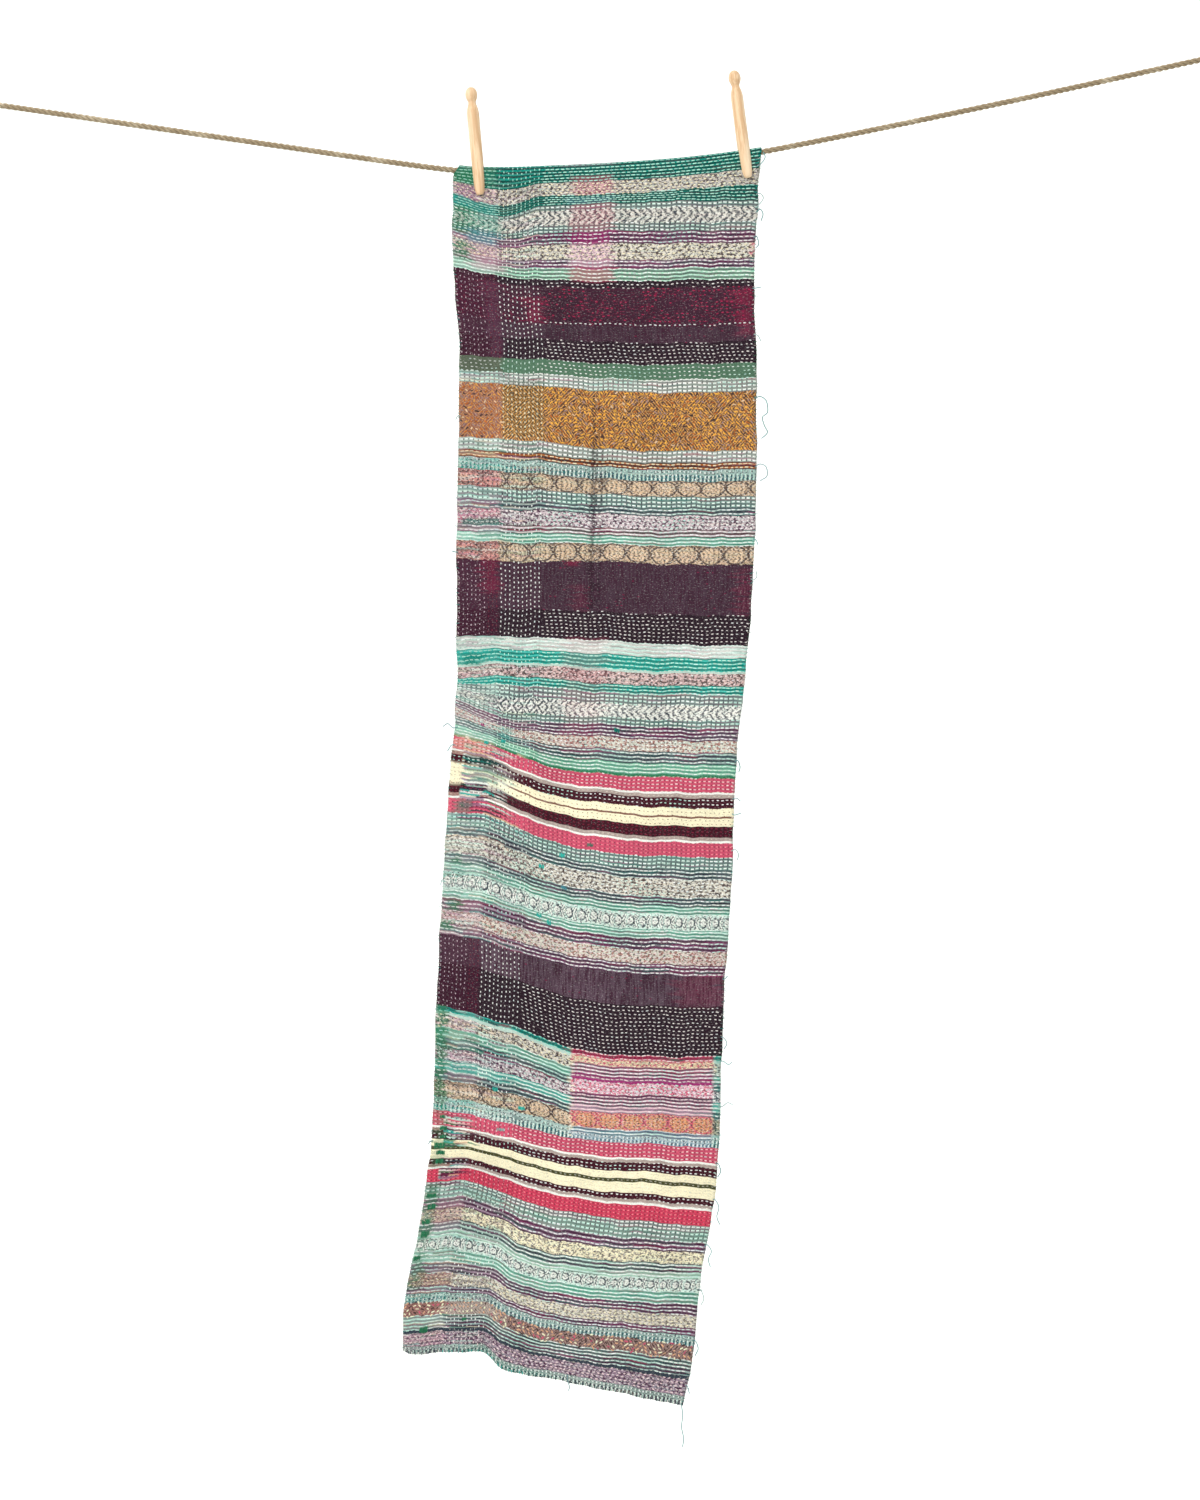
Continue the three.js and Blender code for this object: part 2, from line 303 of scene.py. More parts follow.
def buildGlowingPaint():
    paint, tree, shader = startMaterial("glowingRoomPaint", 0.95, 0.1)
    behind = ease(split(objectPlace(tree))[1], *room["turnsPale"])
    plug(mix(behind, dye(room["frontPaint"]), dye(room["paint"])), shader["Base Color"])
    # painted light: the paint glows, not at all in front of the cloth and fully behind it, and that
    # glow lights the scene too
    plug(mix(behind, (0.0, 0.0, 0.0), dye(room["paint"])), shader["Emission Color"])
    shader["Emission Strength"].default_value = room["glow"]
    return paint


def addRoom():
    deselectAll()
    centre = (shot["middleX"] * mm, 0, room["floor"])
    bpy.ops.mesh.primitive_circle_add(
        vertices=128, radius=room["radius"], fill_type="NGON", location=centre
    )
    bowl = bpy.context.object
    bowl.name = "room"
    bpy.ops.object.mode_set(mode="EDIT")
    bpy.ops.mesh.select_all(action="SELECT")
    bpy.ops.mesh.region_to_loop()
    radius, height = room["radius"], 0.0
    for step in range(1, room["coveSteps"] + 1):
        turn = math.pi / 2 * step / room["coveSteps"]
        wide = room["radius"] + room["cove"] * math.sin(turn)
        high = room["cove"] * (1 - math.cos(turn))
        bpy.ops.mesh.extrude_edges_move(TRANSFORM_OT_translate={"value": (0, 0, high - height)})
        grow = wide / radius
        bpy.ops.transform.resize(value=(grow, grow, 1), center_override=centre)
        radius, height = wide, high
    bpy.ops.mesh.extrude_edges_move(TRANSFORM_OT_translate={"value": (0, 0, room["wall"])})
    bpy.ops.mesh.select_all(action="SELECT")
    bpy.ops.mesh.normals_make_consistent(inside=True)
    bpy.ops.object.mode_set(mode="OBJECT")
    bpy.ops.object.shade_smooth_by_angle(angle=math.radians(40))
    bowl.data.materials.append(buildGlowingPaint())


lamps = [  # name, place in metres, size, watts; each looks at the cloth's middle
    ("key", (-1.4, -3.1, 1.1), 2.0, 108),
    ("fill", (3.1, -2.9, -0.2), 2.8, 20),
    ("back", (0.9, 3.6, 0.9), 3.0, 26),
]
sky = {"colour": "f3f6f6", "strength": 1.0}


def addLights():
    middle = Vector((shot["middleX"] * mm, 0, shot["middleZ"] * mm))
    for name, place, size, watts in lamps:
        deselectAll()
        turn = (middle - Vector(place)).to_track_quat("-Z", "Y").to_euler()
        bpy.ops.object.light_add(type="AREA", location=place, rotation=turn)
        lamp = bpy.context.object
        lamp.name = "lamp_" + name
        lamp.data.size = size
        lamp.data.energy = watts
        lamp.visible_camera = False
    world = bpy.data.worlds.new("sky")
    world.use_nodes = True
    background = world.node_tree.nodes["Background"].inputs
    background["Color"].default_value = (*dye(sky["colour"]), 1)
    background["Strength"].default_value = sky["strength"]
    scene.world = world
    scene.view_settings.view_transform = "Standard"


addCamera()
addRoom()
addLights()
print("camera, room and light set")

# The rope line: one taut cord, the first of the soft pieces

rope = {
    "radius": 3.0,
    "lay": 19.0,  # length of one full turn of the strands
    "strands": 3,
    "sides": 24,
    "step": 1.25,
    "groove": 1.75,  # how near the middle the grooves between strands reach
    "gap": 0.3,
    "hemp": "c2ae90",
    "hempDark": "927c5f",
    "hempLight": "dccbb0",
}

# The line's route: x, and the height of its centre, held at both ends and drawn down at the pegs.
lineRoute = [
    (0, 0), (40, -5.3), (190, -27.2), (340, -49), (440, -63.4), (492, -70), (518, -71.8),
    (545, -72), (580, -71), (640, -68.3), (700, -64.4), (740, -60.6), (784, -55), (802, -52),
    (890, -34.6), (990, -14), (1090, 7.2), (1240, 40), (1280, 48.6),
]
lineStops, lineHeights = np.array(lineRoute, float).T


def lineHeight(x):
    return smoothThrough(lineStops, lineHeights, x)


def slopeBetween(a, b):
    return math.atan2(b[1] - a[1], b[0] - a[0])


leftEnd, rightEnd = lineRoute[0], lineRoute[-1]
leftSlope, rightSlope = slopeBetween(leftEnd, lineRoute[1]), slopeBetween(lineRoute[-2], rightEnd)
strandPart = fullTurn / rope["strands"]


def strandRadius(angle):
    # outline of three round strands laid together, its grooves filled by their fibres
    strand = rope["radius"] / (1 + 1 / math.sin(strandPart / 2))
    centre = rope["radius"] - strand
    away = (angle + strandPart / 2) % strandPart - strandPart / 2
    inner = np.sqrt(np.maximum(strand**2 - (centre * np.sin(away)) ** 2, 0))
    return np.maximum(centre * np.cos(away) + inner, rope["groove"])


def sweepRope(centres, turns=None):
    # rings of strand outline round a path in the XZ plane, turning as they go; with turns it closes
    closed = turns is not None
    count, sides = len(centres), rope["sides"]
    ahead = np.roll(centres, -1, axis=0) - np.roll(centres, 1, axis=0)
    if not closed:
        ahead[0], ahead[-1] = centres[1] - centres[0], centres[-1] - centres[-2]
    side = np.array([0.0, 1.0, 0.0])
    up = np.cross(unit(ahead), side)
    run = np.concatenate([[0], np.cumsum(np.linalg.norm(np.diff(centres, axis=0), axis=1))])
    twist = fullTurn * (turns * np.arange(count) / count if closed else run / rope["lay"])
    around = fullTurn * np.arange(sides) / sides
    angle = around + twist[:, None]
    away = np.cos(angle)[..., None] * side + np.sin(angle)[..., None] * up[:, None, :]
    points = centres[:, None, :] + strandRadius(around)[None, :, None] * away
    laid = np.stack([np.repeat(run, sides), np.tile(around, count), np.zeros(count * sides)], axis=1)
    return points.reshape(-1, 3), ringFaces(count, sides, closed=closed), laid


def buildHemp():
    material, tree, shader = startMaterial("hempRope", 0.88, 0.2)
    place = objectPlace(tree)
    run, around, _ = split(attribute(tree, "laid", "Vector"))
    # fibres run back across each strand, so the pattern is sheared against the lay
    fibres = Wire(addNode(tree, "CombineXYZ", {0: run + around * 1.6, 1: around}).outputs[0])
    thin = noise(fibres, 2.2, 4, 0.65, (0.9, 3.5, 1))
    colour = mix(ease(thin, 0.36, 0.66), dye(rope["hempDark"]), dye(rope["hemp"]))
    colour = mix(ease(noise(place, 38, 3, 0.6), 0.45, 0.75), colour, dye(rope["hempLight"]))
    # painted shade: the colour is darkened towards the grooves between the strands
    groove = (around + strandPart / 2).calc("PINGPONG", strandPart / 2)
    shade = ease(groove, 0.0, 0.42, 0.45, 1.0)
    plug(mix(1.0, slubbed(place, colour, 800.0, 0.3), shade, "MULTIPLY"), shader["Base Color"])
    plug(bump(thin, 0.0006, 0.9), shader["Normal"])
    return material


hemp = buildHemp()
eye = {
    "ring": 14.0,
    "ringSteps": 72,
    "ringTurns": 5,
    "knotNear": 12.0,  # the bound neck's two ends, from the ring's middle
    "knotFar": 34.0,
    "coreRadius": 5.0,
    "coreSides": 24,
    # along the neck, and round it
    "coreShape": [(0.02, 0.55), (0.14, 0.86), (0.3, 1.0), (0.7, 1.0), (0.86, 0.86), (0.98, 0.62)],
    "bare": 2.5,  # of the core, at each end of the twine
    "twine": 0.75,
    "twineLift": 0.35,  # of the twine's middle, off the core
    "twineSides": 8,
    "twinePerTurn": 20,
    "twineAngle": math.pi / 3,  # where on a strand its colour is taken from: a groove, so the twine takes the full painted groove shade
}


def lineCentres():
    start = leftEnd[0] + (eye["knotFar"] + rope["gap"]) * math.cos(leftSlope)
    end = rightEnd[0] - (eye["knotFar"] + rope["gap"]) * math.cos(rightSlope)
    x = np.linspace(start, end, int((end - start) / rope["step"]))
    return np.stack([x, np.zeros(len(x)), lineHeight(x)], axis=1)


def whipping():
    # twine wound tightly over the neck of the eye, over a plain core
    near, long, n = eye["knotNear"], eye["knotFar"] - eye["knotNear"], eye["coreSides"]
    core = [(near + share * long, width * eye["coreRadius"]) for share, width in eye["coreShape"]]
    points = [(near, 0, 0)]
    for x, r in core:
        points += [(x, r * math.cos(a), r * math.sin(a)) for a in fullTurn * np.arange(n) / n]
    points.append((eye["knotFar"], 0, 0))
    tail = len(points) - 1 - n
    faces = ringFaces(len(core), n, 1)[:-2]
    for j in range(n):
        k = (j + 1) % n
        faces += [[0, 1 + j, 1 + k], [tail + k, tail + j, len(points) - 1]]
    turns = (long - 2 * eye["bare"]) / (2 * eye["twine"])
    steps = int(turns * eye["twinePerTurn"])
    share = np.arange(steps + 1) / steps
    x = near + eye["bare"] + share * (long - 2 * eye["bare"])
    shape = np.interp(x, *np.array([(near, 0), *core, (eye["knotFar"], 0)]).T)
    angle = fullTurn * turns * share
    base, sides = len(points), eye["twineSides"]
    for i in range(steps + 1):
        for a in fullTurn * np.arange(sides) / sides:
            r = shape[i] + eye["twine"] * math.cos(a) + eye["twineLift"]
            along = x[i] + eye["twine"] * math.sin(a)
            points.append((along, math.cos(angle[i]) * r, math.sin(angle[i]) * r))
    return np.array(points, float), faces + ringFaces(steps + 1, sides, base)


def addRope(name, node, points, faces, laid):
    piece = meshPiece(name, points, faces, hemp)
    writeEach(piece, "laid", "vector", laid)
    facesOutward(piece)
    return finishPiece(piece, node)


def addEye(side, end, turn):
    a = fullTurn * np.arange(eye["ringSteps"]) / eye["ringSteps"]
    ring = eye["ring"] * np.stack([np.cos(a), np.zeros(len(a)), np.sin(a)], axis=1)
    points, faces, laid = sweepRope(ring, eye["ringTurns"])
    bound, boundFaces = whipping()
    faces += [[i + len(points) for i in f] for f in boundFaces]
    plain = np.zeros(len(bound))
    laid = np.vstack([laid, np.column_stack([bound[:, 0], plain + eye["twineAngle"], plain])])
    x, y, z = np.vstack([points, bound]).T
    cos, sin = math.cos(turn), math.sin(turn)
    points = np.stack([x * cos + z * sin + end[0], y, z * cos - x * sin + end[1]], axis=1)
    return addRope("rope_eye_" + side, "line_eye_" + side, points, faces, laid)


def addLine():
    centres = lineCentres()
    piece = addRope("rope_line", "line", *sweepRope(centres))
    eyes = [addEye("left", leftEnd, -leftSlope), addEye("right", rightEnd, math.pi - rightSlope)]
    return piece


ropeLine = addLine()
print("rope line and its eyes made")

# Pegs: turned, slotted and sprung open over the line

peg = {
    "length": 110.0,
    "sides": 44,
    "slotDepth": 76.0,  # from the tips up to the slot's root
    "slotRootHalf": 1.4,  # half the slot's width there, at the line and at the tips
    "slotGripHalf": 1.6,
    "slotMouthHalf": 1.9,
    "gripHeight": 25.0,  # from the tips up to the line
    "cutterHalf": 10.0,
    "edge": 0.3,
    "weld": 0.001,
    "wood": "efcea8",
    "woodDark": "d9af86",
    "woodLight": "f5dcbc",
    "pores": "b98a58",
}
pegPlaces = [("left", 518.3, 5.2), ("right", 784.4, 7.3)]  # where each crosses the line, its lean
pegProfile = [  # distance down from the crown, radius
    (0, 0), (0.7, 2.6), (3, 4.8), (7, 6), (10.6, 5.6), (13.6, 4.4), (15.5, 3.8), (17.6, 4.1),
    (21.5, 5.3), (25, 5.9), (28, 6.1), (40, 6.1), (52, 6.1), (60, 6.1), (68, 6.05), (76, 5.95),
    (84, 5.85), (92, 5.75), (100, 5.5), (105, 5), (108.5, 4.2), (110, 3),
]
crown = {0.12: 1.1, 0.35: 1.9, 0.7: 2.7}  # its first rings, rounder than the profile's line
clothPly = 1.6


def slotHalf(height):
    above = (height - peg["gripHeight"]) / (peg["slotDepth"] - peg["gripHeight"])
    if above > 0:
        return peg["slotGripHalf"] + (peg["slotRootHalf"] - peg["slotGripHalf"]) * above
    below = height / peg["gripHeight"]
    return peg["slotMouthHalf"] + (peg["slotGripHalf"] - peg["slotMouthHalf"]) * below


def legSpring(height):  # each leg bends like a beam down to the line and runs straight below it
    grip = rope["radius"] + 2 * rope["gap"] + clothPly - peg["slotGripHalf"]
    reach = max(0, (peg["slotDepth"] - height) / (peg["slotDepth"] - peg["gripHeight"]))
    return grip * reach * reach * (1.5 - 0.5 * reach) if reach < 1 else grip * (1.5 * reach - 0.5)


def growUp(piece, levels):
    # extrudes the selected face through (height, half width in x, half width in y), in millimetres
    onlySelect(piece)
    bpy.ops.object.mode_set(mode="EDIT")
    bpy.ops.mesh.select_all(action="SELECT")
    for (z0, x0, y0), (z1, x1, y1) in zip(levels, levels[1:]):
        bpy.ops.mesh.extrude_region_move(TRANSFORM_OT_translate={"value": (0, 0, (z1 - z0) * mm)})
        bpy.ops.transform.resize(value=(x1 / x0, y1 / y0, 1), center_override=(0, 0, z1 * mm))
    facesOutward(piece)
    return piece


def turnBlank():
    downs = [*crown, 1.3, 2.1, 3, *range(4, 28), *range(28, 100, 6), *range(100, 107, 2)]
    downs += [107.5, 108.8, 109.6, 110]
    widths = smoothThrough(*np.array(pegProfile, float).T, downs)
    widths[: len(crown)] = list(crown.values())
    levels = [(peg["length"] - d, r, r) for d, r in zip(downs[::-1], widths[::-1])]
    deselectAll()
    bpy.ops.mesh.primitive_circle_add(
        vertices=peg["sides"], radius=levels[0][1] * mm, fill_type="NGON", location=(0, 0, 0)
    )
    return growUp(bpy.context.object, levels)


def slotCutter():
    heights = (-1, *range(4, int(peg["slotDepth"]) - 4, 8))
    levels = [(h, peg["cutterHalf"], slotHalf(h)) for h in heights]
    root = peg["slotRootHalf"]
    for turn in (0, 25, 50, 70, 84):
        a = math.radians(turn)
        height = peg["slotDepth"] - root + root * math.sin(a)
        levels.append((height, peg["cutterHalf"], root * math.cos(a)))
    deselectAll()
    bpy.ops.mesh.primitive_plane_add(size=2, location=(0, 0, levels[0][0] * mm))
    bpy.ops.transform.resize(value=(levels[0][1] * mm, levels[0][2] * mm, 1))
    bpy.ops.object.transform_apply(location=True, rotation=False, scale=True)
    return growUp(bpy.context.object, levels)


def buildWood(name, lean):
    material, tree, shader = startMaterial(name, 0.6, 0.35)
    turn = {"Vector": objectPlace(tree), "Rotation": (0, math.radians(lean), 0)}
    place = Wire(addNode(tree, "Mapping", turn).outputs[0])
    grain = noise(place, 420, 4, 0.6, (1, 1, 0.035))
    colour = mix(ease(grain, 0.38, 0.66), dye(peg["woodDark"]), dye(peg["wood"]))
    pale = ease(noise(place, 60, 2, 0.5, (1, 1, 0.2)), 0.42, 0.7)
    colour = mix(pale, colour, dye(peg["woodLight"]))
    pores = ease(noise(place, 1500, 2, 0.5, (1, 1, 0.05)), 0.6, 0.72, 0.0, 0.3)
    plug(mix(pores, colour, dye(peg["pores"])), shader["Base Color"])
    plug(ease(grain, 0.3, 0.7, 0.68, 0.52), shader["Roughness"])
    plug(bump(grain, 0.0003, 0.35), shader["Normal"])
    return material


def modify(piece, kind, **settings):
    change = piece.modifiers.new(kind, kind)
    for name, value in settings.items():
        setattr(change, name, value)
    bpy.ops.object.modifier_apply(modifier=change.name)


def inOrder(piece):
    # a cut numbers its points anew on each run, so they are put in the order of their places
    points = np.array([v.co[:] for v in piece.data.vertices]) / mm
    order = np.lexsort(np.round(points, 3).T)
    number = np.argsort(order)
    faces = [number[list(face.vertices)] for face in piece.data.polygons]
    bpy.data.objects.remove(piece)
    return meshPiece("peg", points[order], sorted(np.roll(f, -f.argmin()).tolist() for f in faces))


def addPeg(side, x, lean):
    blank, cutter = turnBlank(), slotCutter()
    onlySelect(blank)
    modify(blank, "BOOLEAN", operation="DIFFERENCE", object=cutter)
    bpy.data.objects.remove(cutter)
    blank = inOrder(blank)
    onlySelect(blank)
    sharp = {"limit_method": "ANGLE", "angle_limit": math.radians(48)}
    modify(blank, "BEVEL", width=peg["edge"] * mm, segments=2, **sharp)
    modify(blank, "WELD", merge_threshold=peg["weld"] * mm)  # two doubled points at the slot's root
    for v in blank.data.vertices:
        v.co.y += math.copysign(legSpring(v.co.z / mm) * mm, v.co.y)
    turn = math.radians(lean)
    down = float(lineHeight([x])[0]) - peg["gripHeight"] * math.cos(turn)
    blank.rotation_euler = (0, -turn, 0)
    blank.location = ((x + peg["gripHeight"] * math.sin(turn)) * mm, 0, down * mm)
    onlySelect(blank)
    bpy.ops.object.transform_apply(location=True, rotation=True, scale=True)
    bpy.ops.object.shade_smooth_by_angle(angle=math.radians(40))
    blank.name = "dolly_peg_" + side
    blank.data.materials.append(buildWood("pegWood_" + side, lean))
    finishPiece(blank, "peg_" + side)


for place in pegPlaces:
    addPeg(*place)
print("pegs turned, slotted and sprung")

# The cloth: how it hangs

cloth = {
    "width": 300.0,
    "flap": 46.0,  # what hangs behind the line
    "flapIn": 5.0,  # how far its right edge runs in
    "border": 86.0,  # the two narrow strips at the left, stitched up and down
    "strip": 44.0,  # where the first of them ends
    "rowPitch": 3.7,  # between rows of running stitch
    "stitchPitch": 5.0,
    "columns": 20,  # stitched columns across the border
    "tickPitch": 4.1,  # between the upright ticks
    "columnPitch": 5.3,  # between stitches down a column
    "fieldSteps": 63,
    "valley": 0.62,  # half thickness along a row of stitches
    "puff": 0.3,  # how much the cloth swells between rows
    "backEvery": 4,  # the plain side is this much coarser
    "calmTop": 30,  # the small wandering grows over this much below the line
    "edgeEase": 3,  # and the swelling over this much from an edge
    "inset": 0.96,  # how far out from its middle a face's colours are read
    "paler": 0.35,  # how much weaker the figures are in the outer strip
}
bendRadius = rope["radius"] + rope["gap"] + clothPly / 2  # of the sheet's middle, round the line
bendLength = math.pi * bendRadius
onLineX = (493.5, 801.5)

# Courses of the weave, named for the stripe that starts at each: the x of a weft line's two ends,
# then how far it hangs below the origin at each of acrossStops.
acrossStops = [0, 45, 88, 108, 150, 220, 300]
courses = [
    ("emerald", 493, 797.5, 92, 104.5, 96, 95, 93.5, 89, 83.5),
    ("below emerald", 493, 797.2, 106, 117.5, 108.5, 107.5, 105, 102.5, 103),
    ("dark band 1", 493.5, 794, 165.5, 176.3, 181, 181.5, 182, 181, 180),
    ("sage", 499.5, 796, 254.5, 258.3, 261.3, 263, 265.2, 265.3, 263.6),
    ("below ochre", 498.5, 796.3, 336.5, 339.2, 343.5, 346.5, 350.2, 351.5, 351.5),
    ("dark band 2", 497, 793.5, 458.7, 461, 462, 462, 462.2, 464.3, 465.4),
    ("mint", 497, 787.5, 536.8, 535.8, 538.3, 539.3, 541.3, 544.2, 546.8),
    ("teal", 498, 784, 578, 575.9, 578.5, 580, 583.4, 585.6, 587),
    ("plum lines", 496, 779, 599, 615.6, 621.5, 623, 624, 627, 629),
    ("coral 1", 494, 775, 634.7, 646.5, 663, 668.7, 673, 677, 679.5),
    ("below coral 1", 487.5, 773, 711, 716, 734.5, 741.5, 750, 756, 759),
    ("dark band 3", 480.5, 765.5, 832.4, 840, 854, 860, 868.5, 874, 878),
    ("rose", 477, 761.5, 903.8, 914.3, 928.2, 936.5, 950.5, 955, 957.5),
    ("coral 2", 474, 759, 1007.8, 1015, 1025, 1029.8, 1038.5, 1041.5, 1050),
    ("below coral 2", 467, 750, 1081.4, 1080.8, 1095.5, 1102, 1111, 1117.5, 1128),
    ("leaf stripe", 457, 740.5, 1138, 1137, 1149, 1159, 1168, 1173.5, 1180),
    ("rust", 443.5, 733.5, 1205.5, 1202.7, 1205.6, 1214, 1227.5, 1234, 1246),
    ("hem", 443, 723.5, 1257.6, 1254.2, 1254.8, 1269, 1276.5, 1288, 1305),
]
folds = [  # kind, across, drift, from, to, width, back
    ("step", 98, -0.02, 1090, 1400, 9, 13),
    ("ridge", 48, 0.28, 560, 760, 26, -7),
    ("ridge", 105, 0.1, 640, 1000, 30, 6),
    ("ridge", 150, -0.1, 150, 420, 60, -5),
    ("ridge", 235, 0.05, 420, 880, 45, 5),
    ("ridge", 300, 0, 620, 1240, 34, 7),
    ("ridge", 0, 0, 860, 1240, 30, -6),
    ("ridge", 190, 0.12, 980, 1340, 42, -7),
    ("ridge", 20, 0, 120, 430, 28, 4),
]
foldEase = 70
creases = [  # sharp marks of old folding, in the same way
    ("ridge", 137, 0.0, 285, 560, 2.6, 2.7),
    ("ridge", 144, 0.01, 300, 540, 3.0, -0.9),
    ("ridge", 238, 0.0, 700, 1010, 4.0, 0.7),
]
# how far the left corners are drawn in, and over what width and height
corners = {"foldIn": 6.5, "foldWide": 22, "foldTall": 9, "hemUp": 5.0, "hemWide": 14}
top = [("on the line", *onLineX, *(-lineHeight(np.interp(acrossStops, (0, 300), onLineX))))]
hung = np.array([row[1:] for row in top + courses], float)
rights = hung[:, -1]  # a place down the cloth is named by how far its right edge hangs
topKey, hemKey = rights[0], rights[-1]
flapKey = topKey - bendLength - cloth["flap"]


def foldDepth(across, key):
    depth = np.zeros_like(across)
    for kind, centre, drift, start, stop, width, back in folds + creases:
        away = (across - centre - drift * (key - start)) / width
        live = smoothStep((key - start) / foldEase) * smoothStep((stop - key) / foldEase)
        shape = 1 - smoothStep(away / 2 + 0.5) if kind == "step" else np.exp(-away * away)
        depth += back * live * shape
    return depth


def sheetMiddle(across, key):
    # the left corners are pulled in: at the fold sideways, at the hem upwards
    foldAway = (key - topKey + bendLength / 2) / corners["foldTall"]
    atFold, atHem = np.exp(-(foldAway**2)), smoothStep((key - hemKey) / corners["hemWide"] + 1)
    drawnIn = corners["foldIn"] * atFold * np.maximum(1 - across / corners["foldWide"], 0) ** 2
    drawnUp = corners["hemUp"] * atHem * np.maximum(1 - across / corners["hemWide"], 0) ** 2
    share = across / cloth["width"]
    inFront = np.maximum(key, topKey)
    x0, x1, *drops = [smoothThrough(rights, column, inFront) for column in hung.T]
    fallen = smoothThrough(acrossStops, np.stack(drops, -1), across)
    front = np.stack([x0 + (x1 - x0) * share, foldDepth(across, inFront) - bendRadius, -fallen], -1)
    angle = np.clip(topKey - key, 0, bendLength) / bendRadius
    behind = np.maximum(topKey - key - bendLength, 0)
    x = onLineX[0] + (onLineX[1] - onLineX[0]) * share
    x = x - cloth["flapIn"] * share * smoothStep(behind / cloth["flap"])
    height = lineHeight(x) + bendRadius * np.sin(angle) - behind
    over = np.stack([x, -bendRadius * np.cos(angle), height], -1)
    placed = np.where((key >= topKey)[:, None], front, over)
    placed[:, 0] += drawnIn
    placed[:, 2] += drawnUp
    return placed


waves = [  # how handwork wanders: length across, length down, turn, reach across, reach down
    (171, 83, 0.4, 0.35, 0.55), (67, 141, 2.1, 0.3, 0.5), (38, 47, 4.0, 0.22, 0.36),
    (23, 29, 1.2, 0.16, 0.24), (14, 61, 5.1, 0.1, 0.2),
]
puckers = [  # length across, length down, turn, depth
    (31, 44, 0.7, 0.34), (19, 23, 2.9, 0.26), (47, 15, 4.4, 0.2), (12.5, 27, 1.9, 0.16),
    (83, 67, 3.3, 0.5),
]


def hangs(across, key):
    # the sheet's middle with all the small wandering of a hand-made thing
    across, key = np.asarray(across, float), np.asarray(key, float)
    moveA, moveK, depth = np.zeros((3, len(across)))
    for long, tall, turn, reachA, reachK in waves:
        phase = across * fullTurn / long + turn
        other = key * fullTurn / tall + 1.7 * turn
        moveA += reachA * np.sin(other + 0.6 * np.sin(phase))
        moveK += reachK * np.sin(phase + 0.8 * np.sin(other))
    for long, tall, turn, reach in puckers:
        depth += reach * np.sin(across * fullTurn / long + 1.3 * np.sin(key * fullTurn / tall) + turn)
    calm = smoothStep((key - topKey) / cloth["calmTop"])
    points = sheetMiddle(across + moveA, key + moveK * calm)
    points[:, 1] += depth * calm
    return points


def directions(across, key, reach=0.6):
    # along a weft row, down the cloth, and out of its stitched face
    right = hangs(across + reach, key) - hangs(across - reach, key)
    down = hangs(across, key + reach) - hangs(across, key - reach)
    return unit(right), unit(down), unit(-np.cross(right, down))


# The cloth: its chart of stripes

# dyed cottons, as a dyer's card gives them
shades = {
    "mint": "c5eadc", "paleMint": "d9efe5", "greyMint": "bcd3c8", "mintGreen": "aedfc3",
    "seafoam": "5fa88f", "teal": "36aea1", "jade": "0f8e7e", "turquoise": "48c4b6",
    "emerald": "0a786a", "deepTeal": "05463f", "blueTeal": "4d8f9b", "petrol": "27646c",
    "forest": "2f7a55", "sage": "50715a", "greyGreen": "61786c", "slate": "343d48",
    "slateMint": "93a9a6", "paleBlue": "cfdfe6", "slateBlue": "5f8496", "aubergine": "3f2031",
    "plumGrey": "493340", "plumMist": "5e4956", "soot": "2b1a25", "wine": "46192f",
    "crimson": "9c1f47", "plum": "4c2040", "plumRose": "9a6a86", "magenta": "9e2f6e",
    "mauve": "a3889a", "mauvePink": "c99cab", "palePink": "dfcbd0", "pink": "f2c3d2",
    "rose": "cf5673", "rosewood": "a0685f", "ecru": "e1d8ca", "dust": "cfc7be",
    "oldRose": "d8b4b0", "clay": "6a4936", "mauveBrown": "a08079", "greyBrown": "8d8175",
    "drab": "5a5448", "peach": "e2c19f", "cream": "fff3d0", "umber": "85584a",
    "umberDark": "4a3836", "mustard": "d9902f", "ochre": "e3a45a", "rust": "b4632d",
    "terracotta": "b06a50", "coral": "de5c76", "red": "e04560", "maroon": "4b0f20",
    "greyBeige": "b3a099", "white": "f7f5ee", "olive": "4a4a2c", "orange": "e39a68",
}
# Weaves: the first five keep their own colour, and the rest are worked over with other yarn.
kinds = "plain flecks streaks ribs squiggle".split()
calmKinds = len(kinds) - 1
kinds += "lines grid mottle chevronRight chevronLeft ringChain ticks scroll".split()

